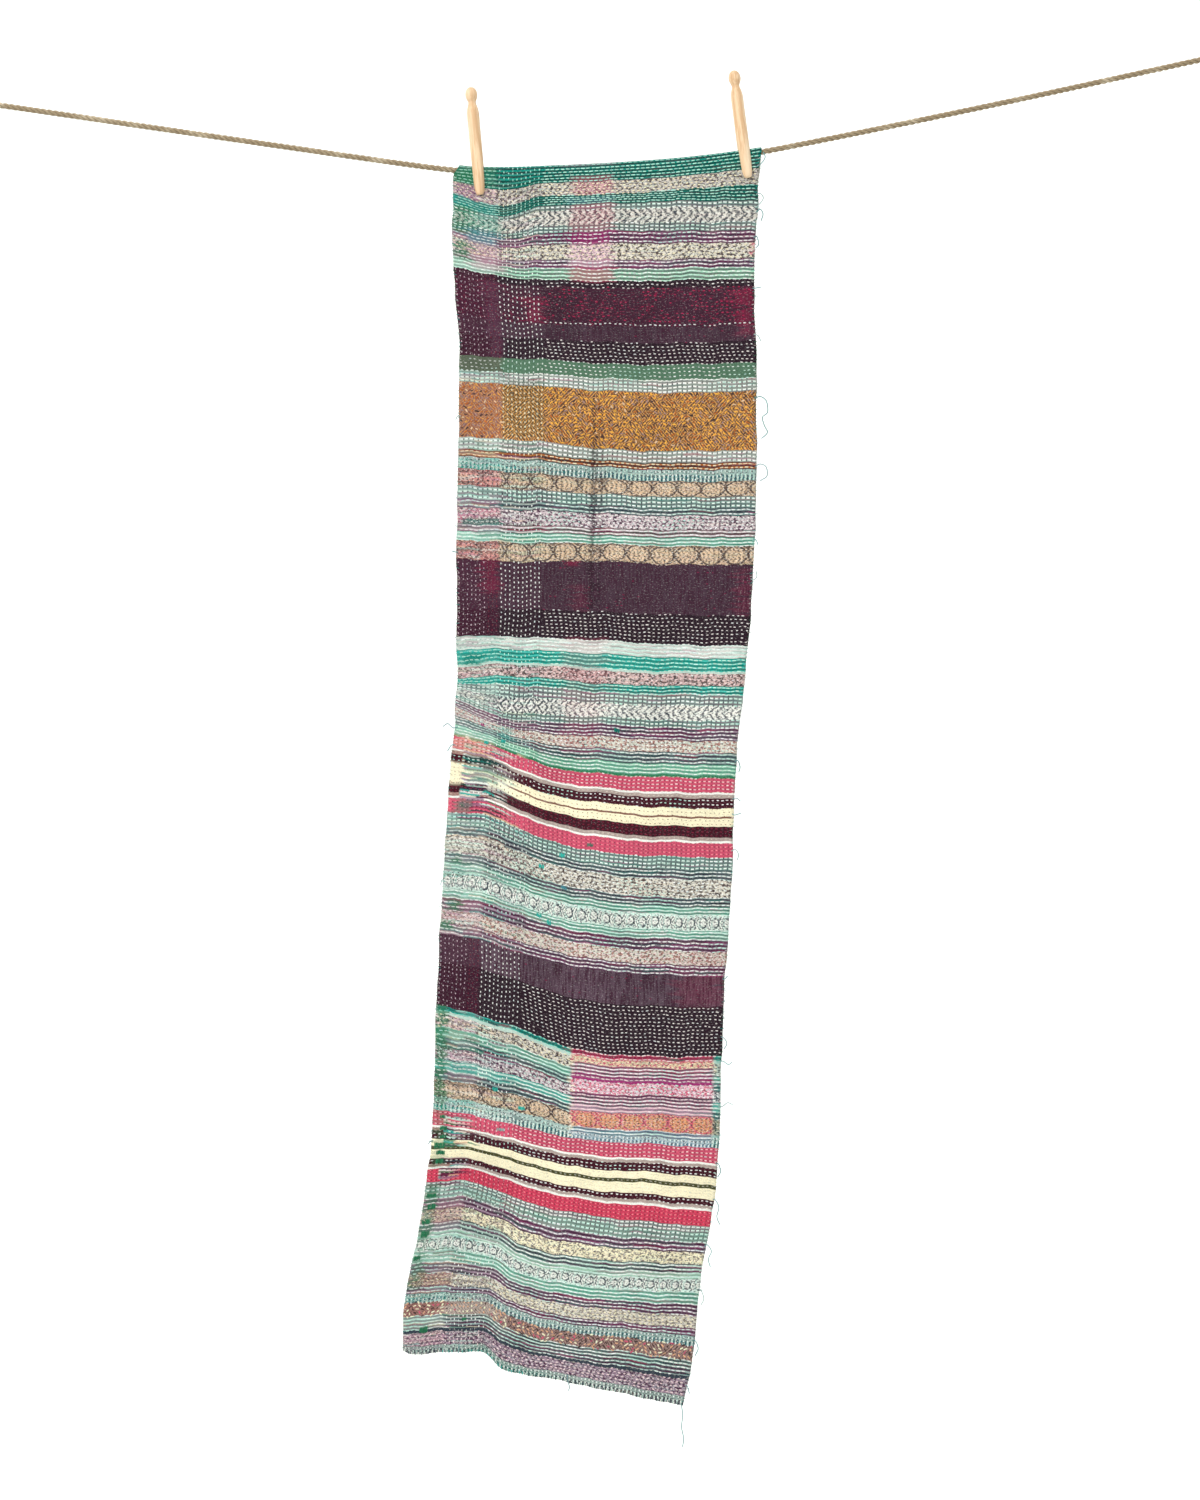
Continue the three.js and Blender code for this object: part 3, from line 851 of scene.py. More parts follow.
# Stripes from the flap's hem down: where each ends, then its weave, ground and figure, the thread of
# its stitches if that isn't white, and its ground in the outer strip if that is another.
chart = [
    (-1, "lines greyMint slate"),
    (12, "mottle ecru mauve cream mauvePink"),
    (21, "lines mauve plum"),
    (33, "grid mint slate"),
    (41, "lines jade deepTeal sea forest"),
    (64, "lines jade deepTeal sea forest"),
    (69.5, "lines emerald deepTeal sea forest"),
    (86, "mottle dust umberDark cream mauvePink"),
    (102.5, "lines emerald deepTeal sea teal"),
    (108.5, "grid greyMint slate white teal"),
    (123.5, "chevronRight dust slate none teal"),
    (132, "grid greyMint slate white blueTeal"),
    (144, "lines plumRose plum white mauvePink"),
    (159.5, "mottle ecru umberDark cream mauvePink"),
    (168.5, "lines mauve plum white mauvePink"),
    (180, "lines mintGreen greyGreen white mint"),
    (187.4, "plain soot soot oyster wine"),
    (222.3, "flecks aubergine crimson tonal wine"),
    (226.2, "flecks aubergine crimson white wine"),
    (242, "streaks plumGrey aubergine tonal wine"),
    (263.6, "plain soot soot oyster wine"),
    (279, "plain sage forest white drab"),
    (292, "grid white greyGreen white paleMint"),
    (351.5, "squiggle clay ochre mustard rosewood"),
    (363.5, "grid white greyGreen white paleMint"),
    (370.5, "lines rust umberDark cream terracotta"),
    (382, "ticks petrol greyMint white teal"),
    (397.5, "ringChain peach umberDark none rose"),
    (409, "grid mint slate"),
    (417, "lines slateMint slate white plumRose"),
    (431, "mottle palePink plum white rose"),
    (438.5, "lines palePink umberDark white mauve"),
    (447, "lines mint seafoam"),
    (465.4, "ringChain peach umberDark none rose"),
    (517, "streaks plumGrey aubergine tonal wine"),
    (546.8, "plain soot soot oyster wine"),
    (559.5, "lines paleMint white white greyMint"),
    (572.8, "lines turquoise jade mint teal"),
    (575, "plain greyMint white none"),
    (587, "mottle oldRose umberDark pinkWhite"),
    (595.5, "lines turquoise emerald mint teal"),
    (607, "grid paleMint slate white mint"),
    (621.5, "chevronLeft white slate none greyMint"),
    (629, "grid mint slate"),
    (642, "lines mauve plum white mauvePink"),
    (654, "mottle ecru rosewood white palePink"),
    (666, "lines slateMint slate"),
    (677, "lines mintGreen seafoam white mint"),
    (679.5, "plain forest forest none"),
    (694, "ribs coral crimson pinkWhite"),
    (695.9, "plain white white none"),
    (699.6, "plain greyBeige mauve none rosewood"),
    (709.6, "ribs maroon soot"),
    (717.6, "plain cream cream brown"),
    (719.4, "plain umber umber none"),
    (727.6, "plain cream cream brown"),
    (738.7, "ribs maroon soot wineThread"),
    (742.3, "plain greyBeige mauve none rosewood"),
    (744.4, "plain white white none"),
    (759, "ribs coral crimson coralThread"),
    (772, "grid mint slate"),
    (781.5, "lines slateMint slate"),
    (799.5, "mottle ecru umberDark"),
    (808.5, "lines slateMint slate"),
    (817, "lines mint seafoam"),
    (833, "scroll paleMint slate none greyMint"),
    (841.5, "lines mint seafoam"),
    (853.5, "lines mauve plum white mauvePink"),
    (867, "mottle ecru rosewood pinkWhite mauvePink"),
    (878, "lines mauve plum white mauvePink"),
    (908, "streaks plumMist aubergine tonal wine"),
    (957.5, "plain soot soot oyster wine"),
    (962, "lines teal emerald aqua"),
    (965, "plain greyMint mint none"),
    (976, "mottle ecru umberDark cream mauvePink"),
    (985, "lines mint seafoam white forest"),
    (993, "lines slateMint slate"),
    (1004, "mottle palePink plum white mauvePink"),
    (1013, "lines mint teal white teal"),
    (1021, "lines slateMint slate white mauve"),
    (1036.5, "ringChain peach umberDark none"),
    (1049.8, "ticks petrol paleMint white teal"),
    (1065, "ribs coral crimson pinkWhite"),
    (1067.2, "plain white white none"),
    (1070.3, "plain greyBeige mauve none rosewood"),
    (1079.3, "ribs maroon soot"),
    (1087, "plain cream cream none"),
    (1090.8, "plain olive olive none"),
    (1101.6, "plain cream cream none"),
    (1107.8, "ribs maroon soot"),
    (1110.8, "plain greyBeige mauve none rosewood"),
    (1113.2, "plain white white none"),
    (1128, "ribs red crimson coralThread"),
    (1134.5, "grid white slate white mint"),
    (1144.5, "grid mint greyGreen"),
    (1154.5, "lines mauve plum white mauvePink"),
    (1166, "mottle cream greyBrown cream mauvePink"),
    (1175, "lines greyMint slate white mauve"),
    (1180.5, "lines paleMint mintGreen white mint"),
    (1193.5, "scroll paleMint slate none greyMint"),
    (1205.5, "lines mint seafoam"),
    (1216.5, "lines mauve plum"),
    (1229, "mottle ecru greyBrown cream rosewood"),
    (1236.5, "lines mauve plum"),
    (1246, "ticks petrol greyMint white teal"),
    (1260.5, "squiggle mauveBrown umberDark apricot rosewood"),
    (1268, "lines greyMint slate"),
    (1276, "lines slateMint plum white greyMint"),
    (1280, "plain slate slate none"),
    (1296, "mottle mauve plum pinkWhite mauvePink"),
    (hemKey, "ticks slate greyMint"),
]
# The rose patch let into the right of the cloth below the third dark band.
patchSpan, patchKeys = (143.0, 293.0), (957.5, 1049.8)
patchChart = [
    (963, "lines rose crimson pinkWhite"),
    (969, "mottle peach rose cream"),
    (980, "lines pink plum"),
    (984.5, "lines plumRose magenta pinkWhite"),
    (987, "plain magenta magenta none"),
    (1000, "mottle pink rose"),
    (1003, "lines plumRose plum pinkWhite"),
    (1012, "lines pink plum"),
    (1019, "lines pink mauve pinkWhite"),
    (1036.5, "ringChain orange rose none"),
    (1043, "lines paleBlue slateBlue"),
    (1049.8, "ticks slateBlue paleBlue"),
]


class Stripes:
    # a chart as arrays, with each stripe cut into whole half rows of stitching
    def __init__(self, rows, start):
        looks = [look.split() for end, look in rows]
        looks = [look + ["white", look[1]][len(look) - 3 :] for look in looks]
        kind, self.names, figure, thread, strip = zip(*looks)
        self.kind, self.thread = np.array([kinds.index(name) for name in kind]), np.array(thread)
        self.ground, self.figure, self.strip = (
            np.array([dye(shades[name]) for name in names]) for names in (self.names, figure, strip)
        )
        self.ends = np.array([end for end, look in rows], float)
        self.starts = np.concatenate([[start], self.ends[:-1]])
        halves = np.maximum(1, np.round(2 * (self.ends - self.starts) / cloth["rowPitch"]))
        self.halves = halves.astype(int)

    def at(self, key):
        return np.clip(np.searchsorted(self.ends, key, side="left"), 0, len(self.ends) - 1)

    def share(self, inside, key):  # how far down a stripe, named by a place inside it, a place is
        stripe = self.at(inside)
        return (key - self.starts[stripe]) / (self.ends[stripe] - self.starts[stripe])


def onPatch(across, key, ragged=0.0):
    inside = (across > patchSpan[0] + 0.4 * ragged) & (across < patchSpan[1])
    return inside & (key > patchKeys[0]) & (key < patchKeys[1])


stripes, patch = Stripes(chart, flapKey), Stripes(patchChart, patchKeys[0])
fromFlap = np.concatenate([[flapKey], stripes.ends])
rowEnds = np.concatenate([[0], np.cumsum(stripes.halves)]) / 2  # rows of stitching above each end
lastRow = rowEnds[-1]
darkStripes, pureStripes = (
    np.isin(stripes.names, names.split())
    for names in ("soot aubergine plumGrey plumMist", "jade emerald turquoise mintGreen")
)


def rowAt(key):
    return np.interp(key, fromFlap, rowEnds)


def keyAt(row):
    return np.interp(row, rowEnds, fromFlap)


# Stains, darns and shot warps, and painted shade along two creases: where they lie (across, key),
# how soft their sides are, their colour and how much of it shows.
tints = [
    (116, 158, 62, 86, 3, "rose", 0.45), (116, 158, 101, 132, 3, "rose", 0.38),
    (116, 158, 131, 144, 3, "magenta", 0.85), (116, 158, 144, 166, 3, "pink", 0.65),
    (116, 158, 166, 181, 3, "rose", 0.55), (0, 26, 69, 87, 3, "plumRose", 0.75),
    (30, 44, 188, 263, 3, "plumRose", 0.1), (111, 156, -30, 50, 3, "mauve", 0.6),
    (111, 156, 90, 101, 3, "slateBlue", 0.5), (112, 154, 545, 660, 5, "rose", 0.2),
    (0, 26, 52, 70, 4, "forest", 0.85), (0, 22, 100, 137, 4, "forest", 0.85),
    (14, 48, 104, 124, 5, "seafoam", 0.6), (0, 17, 148, 170, 4, "forest", 0.85),
    (14, 46, 127, 146, 5, "blueTeal", 0.75), (16, 50, 143, 176, 6, "mauvePink", 0.6),
    (296.5, 300, 145, 157, 1, "coral", 0.9), (25, 44, 462, 500, 4, "crimson", 0.25),
    (284, 300, 470, 517, 5, "crimson", 0.2), (250, 300, 853, 908, 9, "crimson", 0.2),
    (170, 246, 846, 854, 7, "deepTeal", 0.4), (118, 133, 490, 517, 4, "crimson", 0.15),
    (110, 124, 465, 470, 3, "crimson", 0.5), (282, 300, 190, 236, 6, "crimson", 0.3),
    (72, 88, 200, 226, 4, "crimson", 0.3), (6, 42, 426, 432, 3, "emerald", 0.8),
    (9, 24, 563, 574, 3, "emerald", 0.8), (46, 62, 642, 662, 4, "teal", 0.6),
    (16, 50, 697, 708, 4, "deepTeal", 0.7), (14, 66, 709, 728, 5, "paleMint", 0.3),
    (16, 58, 712, 715, 2, "forest", 0.75), (20, 52, 720, 723.5, 2, "emerald", 0.75),
    (0, 13, 708, 731, 2, "cream", 0.95), (0, 40, 676, 694, 8, "peach", 0.4),
    (46, 86, 286, 348, 3, "olive", 0.4), (8, 22, 745, 759, 3, "greyGreen", 0.7),
    (8, 20, 801, 808, 3, "forest", 0.8), (5, 20, 843, 853, 3, "forest", 0.8),
    (0, 14, 864, 873, 3, "forest", 0.85), (0, 11, 957, 1045, 3, "forest", 0.85),
    (3, 14, 1046, 1112, 3, "forest", 0.35), (1, 15, 1130, 1232, 3, "forest", 0.65),
    (10, 45, 1154, 1168, 4, "rosewood", 0.45), (8, 45, 1216, 1230, 4, "rosewood", 0.5),
    (88, 120, 186, 262, 6, "soot", 0.4), (141.3, 143.4, 957.5, 1049, 0.6, "cream", 0.85),
    (293, 300, 957.5, 1049, 1.5, "teal", 0.4), (0, 88, 1180, 1206, 30, "paleMint", 0.3),
    (66, 150, 1298, 1306, 12, "emerald", 0.7), (44, 100, 1246, 1261, 8, "ecru", 0.4),
    # the two soot lines here are painted shade along the creases at 137 and 144
    (134.4, 139.4, 300, 546, 1.6, "soot", 0.8), (142.0, 145.6, 310, 540, 1.5, "soot", 0.55),
]
# stripes overworked at the left: from, to, reach
wornEnds = [(677, 766, 66), (1049, 1088, 44), (1101, 1132, 44)]
wear = {
    "strip": 0.62,  # how far the outer strip's own colours cover the stripes
    "yarn": 0.18,  # other yarn in the worked stripes, and how much more of it in the border
    "borderYarn": 0.42,
    "pure": 0.3,  # how much of it the purest stripes take
    "frayed": 0.95,
    "lineDepth": 0.75,  # the figure's colour is darker where it is only a line
    "lineYarn": 0.6,
}
lots = 997  # of stray yarn
stray = np.random.default_rng(5)
raggedRows = stray.normal(0, 0.9, (lots, 2))  # how far each row of a stain or darn strays
strayStarts, strayLengths = stray.uniform(0, 60, lots), stray.uniform(9, 46, lots)
strayAmounts = stray.uniform(0, 1, lots) ** 0.8
strayShades, strayDeep = (
    np.array([dye(shades[name]) for name in stray.choice(names.split(), lots)])
    for names in ("forest teal deepTeal mauve plumRose ecru plum white slate peach mint",
                  "plum crimson emerald deepTeal slate magenta soot")
)


def blend(first, second, amount):
    amount = np.reshape(amount, (-1, 1))
    return first * (1 - amount) + second * amount


def colourAt(across, key):
    # ground, figure and weave for places on the stitched face
    index = stripes.at(key)
    ground, figure, kind = stripes.ground[index], stripes.figure[index], stripes.kind[index]
    stride = np.floor(rowAt(key) * 2).astype(int)
    ragged = np.sin(key * 1.7) * 0.9 + np.sin(key * 0.61 + 2) * 0.8
    torn = raggedRows[stride % lots]
    inStrip = smoothStep((cloth["strip"] - across + ragged) / 1.5)
    ground = blend(ground, stripes.strip[index], wear["strip"] * inStrip)
    inPatch, inner = onPatch(across, key, ragged), patch.at(key)
    ground = np.where(inPatch[:, None], patch.ground[inner], ground)
    figure = np.where(inPatch[:, None], patch.figure[inner], figure)
    kind = np.where(inPatch, patch.kind[inner], kind)
    # yarn changes and rubbed patches run along the rows, thickest in the border
    spread = np.floor((across + strayStarts[stride % lots]) / strayLengths[stride % lots]).astype(int)
    pick = (stride * 131 + spread * 57 + (stride * spread) % 89) % lots
    rough = smoothStep((cloth["border"] + 6 - across) / 14)
    strict = np.where(pureStripes[index], wear["pure"], 1.0)
    more = wear["yarn"] + wear["borderYarn"] * rough
    busy = (kind > calmKinds) * more * strayAmounts[pick] * strict
    for start, stop, reach in wornEnds:
        inside = (key > start) & (key < stop) & (across > 11)
        frayed = smoothStep((reach - across) / 22 + 0.5 * torn[:, 0]) * inside
        frayed = wear["frayed"] * frayed * smoothStep((strayAmounts[pick] - 0.3) / 0.2)
        busy = np.maximum(busy, frayed)
    ground = blend(ground, strayShades[pick], busy)
    lined = np.isin(kind, [kinds.index("lines"), kinds.index("grid")])
    figure = figure * np.where(lined, wear["lineDepth"], 1.0)[:, None]
    deepened = lined * wear["lineYarn"] * strict * strayAmounts[pick] ** 2
    figure = blend(figure, strayDeep[pick], deepened)
    for left, right, start, stop, soft, shade, amount in tints:
        sides = (across - left + ragged + soft * torn[:, 0], right - across + soft * torn[:, 1])
        for inward in (*sides, key - start, stop - key):
            amount = amount * smoothStep(inward / soft + 0.5)
        tone = np.array(dye(shades[shade]))
        ground, figure = blend(ground, tone, amount), blend(figure, tone, 0.5 * amount)
    return ground, figure, kind


# The cloth: finishes

# the lengths of the figures
figures = {"dash": 3.3, "chevron": 7.6, "eye": 13.0, "ring": 24.5, "hatch": 4.1, "leaf": 12.8}
# yarn colours, and one that is painted shade where a stitch dives into the cloth
yarns = {
    "light": "f3f1ea", "pale": "ece9e2", "deep": "3c3a42", "paintedDiveShade": "2a262b", "back": "bcb09b",
    "backWorn": "ada089",
}
weaveDepth = 0.0007  # metres


def folded(value):  # 0 at whole numbers, 0.5 halfway between
    return value.calc("PINGPONG", 0.5)


def largest(value, *others):
    for other in others:
        value = value.calc("MAXIMUM", other)
    return value


def fromMiddle(wide, high):
    return (wide * wide + high * high).calc("SQRT")


def near(value, middle, inner, outer, most=1.0):
    # most within inner of the middle, nothing past outer
    return ease((value - middle).calc("ABSOLUTE"), inner, outer, most, 0.0)


def stripeLine(value, width):  # a line where value is near a whole number
    return ease(folded(value), width * 0.5 - 0.05, width * 0.5 + 0.05, 1.0, 0.0)


def buildWeaves():
    # what the loom and the needle draw in each stripe: its figure, and its palest parts
    tree, (across, row, share, kind, place), out = newGroup(
        "weaves",
        {"Across": "Float", "Row": "Float", "Share": "Float", "Kind": "Float", "Map": "Vector"},
        {"Mask": "Float", "Light": "Float"},
    )
    wobble = (noise(place, 260, 2) - 0.5) * 0.5
    middle = (share * 2 - 1).calc("ABSOLUTE")
    specks = noise(place, 350, 3, 0.6, (0.75, 1, 1))
    broken = ease(specks, 0.4, 0.54, 0.55, 1.0)
    drawn, lit = {}, {}
    drawn["lines"] = stripeLine(row + wobble * 0.35, 0.56)
    posts = stripeLine(across / cloth["stitchPitch"] + wobble * 0.35, 0.3)
    posts = posts * ease(noise(place, 300, 2), 0.4, 0.54, 0.4, 1.0)
    drawn["grid"] = largest(drawn["lines"] * 0.85, posts * 0.95)
    drawn["ribs"] = drawn["grid"] * 0.42
    drawn["mottle"] = ease(specks, 0.495, 0.555)
    turn = ease(noise(place, 70, 1), 0.47, 0.53, -1.7, 1.7)
    dash = across / figures["dash"] + (row * 0.5).calc("FRACT") * turn
    drawn["squiggle"] = stripeLine(dash + wobble * 2.4, 0.36)
    herring = across / figures["chevron"] + wobble * 2
    for name, lean, width in (("chevronRight", 0.9, 0.4), ("chevronLeft", -0.9, 0.36)):
        dart = herring + middle * lean
        drawn[name] = stripeLine(dart, width) * broken
        lit[name] = stripeLine(dart + 0.5, 0.4) * broken * 0.5
    # near the border the second of them turns to eyes
    rings = folded(across / figures["eye"]) * 2.6 + middle * 1.2
    byEyes = ease(across, 92, 118, 1.0, 0.0)
    eyes = stripeLine(rings + wobble, 0.45)
    drawn["chevronLeft"] = drawn["chevronLeft"] * (1 - byEyes) + eyes * byEyes
    # flattened rings end to end, hatched within, the corners above them filled
    rim = fromMiddle(((across / figures["ring"]).calc("FRACT") - 0.5) * 2.02, middle) + wobble * 0.32
    corner = ease(rim, 1.06, 1.18, 0.0, 0.9) * ease(share, 0.35, 0.6, 1.0, 0.3)
    hatch = stripeLine(across / figures["hatch"] + wobble * 2 + middle, 0.34)
    hatch = hatch * ease(rim, 0.8, 0.95, 0.6, 0.0) * broken
    drawn["ringChain"] = largest(near(rim, 0.95, 0.05, 0.15), hatch, corner)
    upright = stripeLine(across / cloth["tickPitch"] + 0.5 + wobble * 0.6, 0.5)
    below = ease(share + wobble * 0.5, 0.42, 0.56)
    drawn["ticks"] = upright * below + (1 - below) * 0.6
    # curled leaves: a pale round with a dark rim, then pale and dark darts behind it
    along = (across / figures["leaf"]).calc("FRACT") * figures["leaf"]
    wide = along - 4.4
    away = fromMiddle(wide, middle * 6.5) + wobble * 3.2
    loop = near(away, 3.8, 0.5, 1.1) * ease(wide, -2.6, 0.4, 0.35, 1.0)
    tail = ease(along, 7.6, 8.6) * ease(middle, 0.7, 0.9, 1.0, 0.0)
    dart = (along - middle * 3.4) / 2.6
    darts, between = stripeLine(dart, 0.35) * tail * broken, stripeLine(dart + 0.5, 0.5) * tail
    drawn["scroll"] = largest(loop, near(away, 1.2, 0.2, 0.6, 0.3), darts)
    lit["scroll"] = largest(ease(away, 2.9, 3.5, 0.9, 0.0), between)
    clumps = ease(noise(place, 45, 2, 0.5), 0.42, 0.6, 0.1, 0.6)
    drawn["flecks"] = ease(noise(place, 620, 2, 0.55, (0.42, 1.3, 1)), 0.56, 0.62) * clumps
    drawn["streaks"] = ease(noise(place, 560, 3, 0.6, (1, 0.08, 1)), 0.45, 0.57)
    for label, patterns in (("Mask", drawn), ("Light", lit)):
        shown = [isKind(kind, name) * pattern for name, pattern in patterns.items()]
        plug(sum(shown[1:], shown[0]), out[label])
    return tree


def isKind(kind, name):
    return kind.calc("COMPARE", float(kinds.index(name)), 0.5)


def buildPlainWeave():  # crossing threads, drawn in at each stitch
    tree, (place, across, row), out = newGroup(
        "plainWeave", {"Map": "Vector", "Across": "Float", "Row": "Float"}, {"Height": "Float"}
    )
    crossed = noise(place, 1900, 2, 0.5, (1, 0.12, 1)) + noise(place, 1900, 2, 0.5, (0.12, 1, 1))
    pull = ease(folded(across / cloth["stitchPitch"]), 0.02, 0.3, 1.0, 0.0)
    pull = ease(folded(row), 0.22, 0.5) * pull
    plug(crossed * 0.5 * 0.55 + pull * 0.6, out["Height"])
    return tree


weaves, plainWeave = buildWeaves(), buildPlainWeave()


def startCloth(name, roughness):  # a finish laid out on the cloth's own map, with the weave in relief
    material, tree, shader = startMaterial(name, roughness, 0.12)
    flat = Wire(addNode(tree, "UVMap", uv_map="cloth").outputs[0])
    across, down, _ = split(flat)
    across, row = across * 1000, down * (1000 / cloth["rowPitch"])
    height = useGroup(plainWeave, {"Map": flat, "Across": across, "Row": row})[0]
    plug(bump(height, weaveDepth, 0.8), shader["Normal"])
    return material, tree, shader, flat, across, row


def buildStriped():
    material, tree, shader, flat, across, row = startCloth("kanthaStripes", 0.93)
    kind, share, strength = split(attribute(tree, "weave", "Vector"))
    drawn, light = useGroup(
        weaves, {"Across": across, "Row": row, "Share": share, "Kind": kind, "Map": flat}
    )
    worn = ease(noise(flat, 620, 3, 0.6), 0.3, 0.5, 0.82, 1.0)
    faded = ease(noise(flat, 34, 3, 0.55), 0.3, 0.7, 0.88, 1.0)
    colour = mix(light, attribute(tree, "ground"), dye(yarns["light"]))
    colour = mix(drawn * worn * faded * strength, colour, attribute(tree, "figure"))
    # light and dark fibres worked in, few in the plain stripes, and painted shade where each stitch
    # dives
    gridKind = kinds.index("grid")
    calm = ease(kind, gridKind + 0.2, gridKind + 0.8, 0.2, 1.0)
    pale = ease(noise(flat, 880, 2, 0.6, (0.6, 1, 1)), 0.58, 0.65, 0.0, 0.85)
    colour = mix(pale * calm, colour, dye(yarns["pale"]))
    moved = {0: flat, 1: (3.1, 1.7, 0.0)}
    moved = Wire(addNode(tree, "VectorMath", moved, operation="ADD").outputs[0])
    deep = ease(noise(moved, 760, 2, 0.6, (0.55, 1, 1)), 0.54, 0.62, 0.0, 0.95)
    colour = mix(deep * calm, colour, dye(yarns["deep"]))
    # painted shade: darkened at the ends of each stitch, where it dives into the cloth
    paintedDiveShade = ease(folded(across / cloth["stitchPitch"]), 0.05, 0.2, 1.0, 0.0)
    paintedDiveShade = paintedDiveShade * ease(folded(row), 0.25, 0.45)
    inStep = largest(isKind(kind, "grid") + isKind(kind, "ribs"), ease(kind, 7.2, 7.8))
    colour = mix(paintedDiveShade * inStep * 0.75, colour, dye(yarns["paintedDiveShade"]))
    patchy = ease(noise(flat, 16, 3), 0.3, 0.7, 0.93, 1.06)
    plug(brighten(slubbed(flat, colour, 1100.0, 0.5), patchy), shader["Base Color"])
    return material


def buildBacking():
    material, tree, shader, flat, across, row = startCloth("wornCottonBack", 0.94)
    worn = ease(noise(flat, 9, 5, 0.65), 0.3, 0.75)
    colour = mix(worn, dye(yarns["back"]), dye(yarns["backWorn"]))
    colour = mix(0.24, colour, attribute(tree, "ground"))  # the stripes strike through
    plug(slubbed(flat, colour, 900.0, 0.25), shader["Base Color"])
    return material


def buildThread():
    material, tree, shader = startMaterial("cottonThread", 0.85, 0.2)
    plug(slubbed(objectPlace(tree), attribute(tree, "dye"), 1300.0, 0.28), shader["Base Color"])
    along, around, _ = split(attribute(tree, "thread", "Vector"))
    plug(bump(folded(along * 1.4 + around), 0.0003, 0.5), shader["Normal"])
    return material


striped, backing, threadCotton = buildStriped(), buildBacking(), buildThread()

# The cloth: its mesh, closed, with the stitched face drawn in row by row


def rowWorked(across, key):
    # 1 where the needle ran along the rows: the field, and the light stripes of the outer strip
    outer = smoothStep((cloth["strip"] - across) / 3) * ~darkStripes[stripes.at(key)]
    return np.maximum(outer, smoothStep((across - cloth["border"] + 2) / 4))


def frontHalf(across, row):
    # half the thickness: least along a line of stitches, most halfway to the next
    column = across / (cloth["border"] / cloth["columns"])
    byRow, byColumn = np.abs(2 * (row % 1) - 1), np.abs(2 * (column % 1) - 1)
    puff = byColumn + (byRow - byColumn) * rowWorked(across, keyAt(row))
    fromHem = (lastRow - row) * cloth["rowPitch"]
    edge = np.minimum(np.minimum(across, cloth["width"] - across), fromHem)
    return cloth["valley"] + cloth["puff"] * puff * smoothStep(edge / cloth["edgeEase"])


def sheetGrid():
    bent = np.arange(math.floor(rowAt(topKey - bendLength)), math.ceil(rowAt(topKey)) + 0.1, 0.25)
    rows = np.array(sorted({*np.arange(0, lastRow + 0.25, 0.5), *bent}))
    edges = np.linspace(0, cloth["border"], 2 * cloth["columns"] + 1)
    rest = np.linspace(cloth["border"], cloth["width"], cloth["fieldSteps"] + 1)[1:]
    return rows, np.concatenate([edges, rest]), np.isin(rows, bent)


def plainFaces(at, bent, columns):
    # the plain side: fewer rows and columns, with every edge vertex kept
    lastR, lastC = at.shape[0] - 1, at.shape[1] - 1
    every = cloth["backEvery"]
    sharp = [(crease[1], 2.5 * crease[5]) for crease in creases] + [(folds[0][1], 2 * folds[0][5])]
    keepR = [r for r in range(lastR + 1) if r % every == 0 or r == lastR or bent[r]]
    keepC = [c for c in range(lastC + 1) if c % every == 0 or c == lastC
             or any(abs(columns[c] - centre) < reach for centre, reach in sharp)]
    faces = []
    for r0, r1 in zip(keepR, keepR[1:]):
        for c0, c1 in zip(keepC, keepC[1:]):
            above = range(c0, c1 + 1) if r0 == 0 else (c0, c1)
            below = range(c1, c0 - 1, -1) if r1 == lastR else (c1, c0)
            corners = [at[r0, c] for c in above]
            corners += [at[r, c1] for r in range(r0 + 1, r1) if c1 == lastC]
            corners += [at[r1, c] for c in below]
            corners += [at[r, c0] for r in range(r1 - 1, r0, -1) if c0 == 0]
            faces.append(corners)
    return faces


bake = {
    "span": 664.0,
    "upperAt": 3.0,
    "lowerAt": 308.0,
    "margin": 0.004,
    "lip": 1.4,  # how far a wall is laid out past the edge
    "plain": (0.93, 0.065, 0.005, 0.99),  # its left, width, foot and height
}


def bakePlaces(across, key, lip, plain):
    # the upper and lower half of the stitched face side by side, the plain side small at their right
    half = (hemKey + flapKey) / 2
    lower = key > half
    u = (across + np.where(lower, bake["lowerAt"], bake["upperAt"]) + lip) / bake["span"]
    v = np.where(lower, hemKey - key, half - key) / bake["span"] + bake["margin"]
    left, wide, foot, tall = bake["plain"]
    u = np.where(plain, left + across / cloth["width"] * wide, u)
    v = np.where(plain, foot + (hemKey - key) / (hemKey - flapKey) * tall, v)
    return np.stack([u, v], axis=1)


def addMap(piece, name, places):
    made = piece.data.uv_layers.new(name=name)
    made.uv.foreach_set("vector", places.astype(np.float32).ravel())


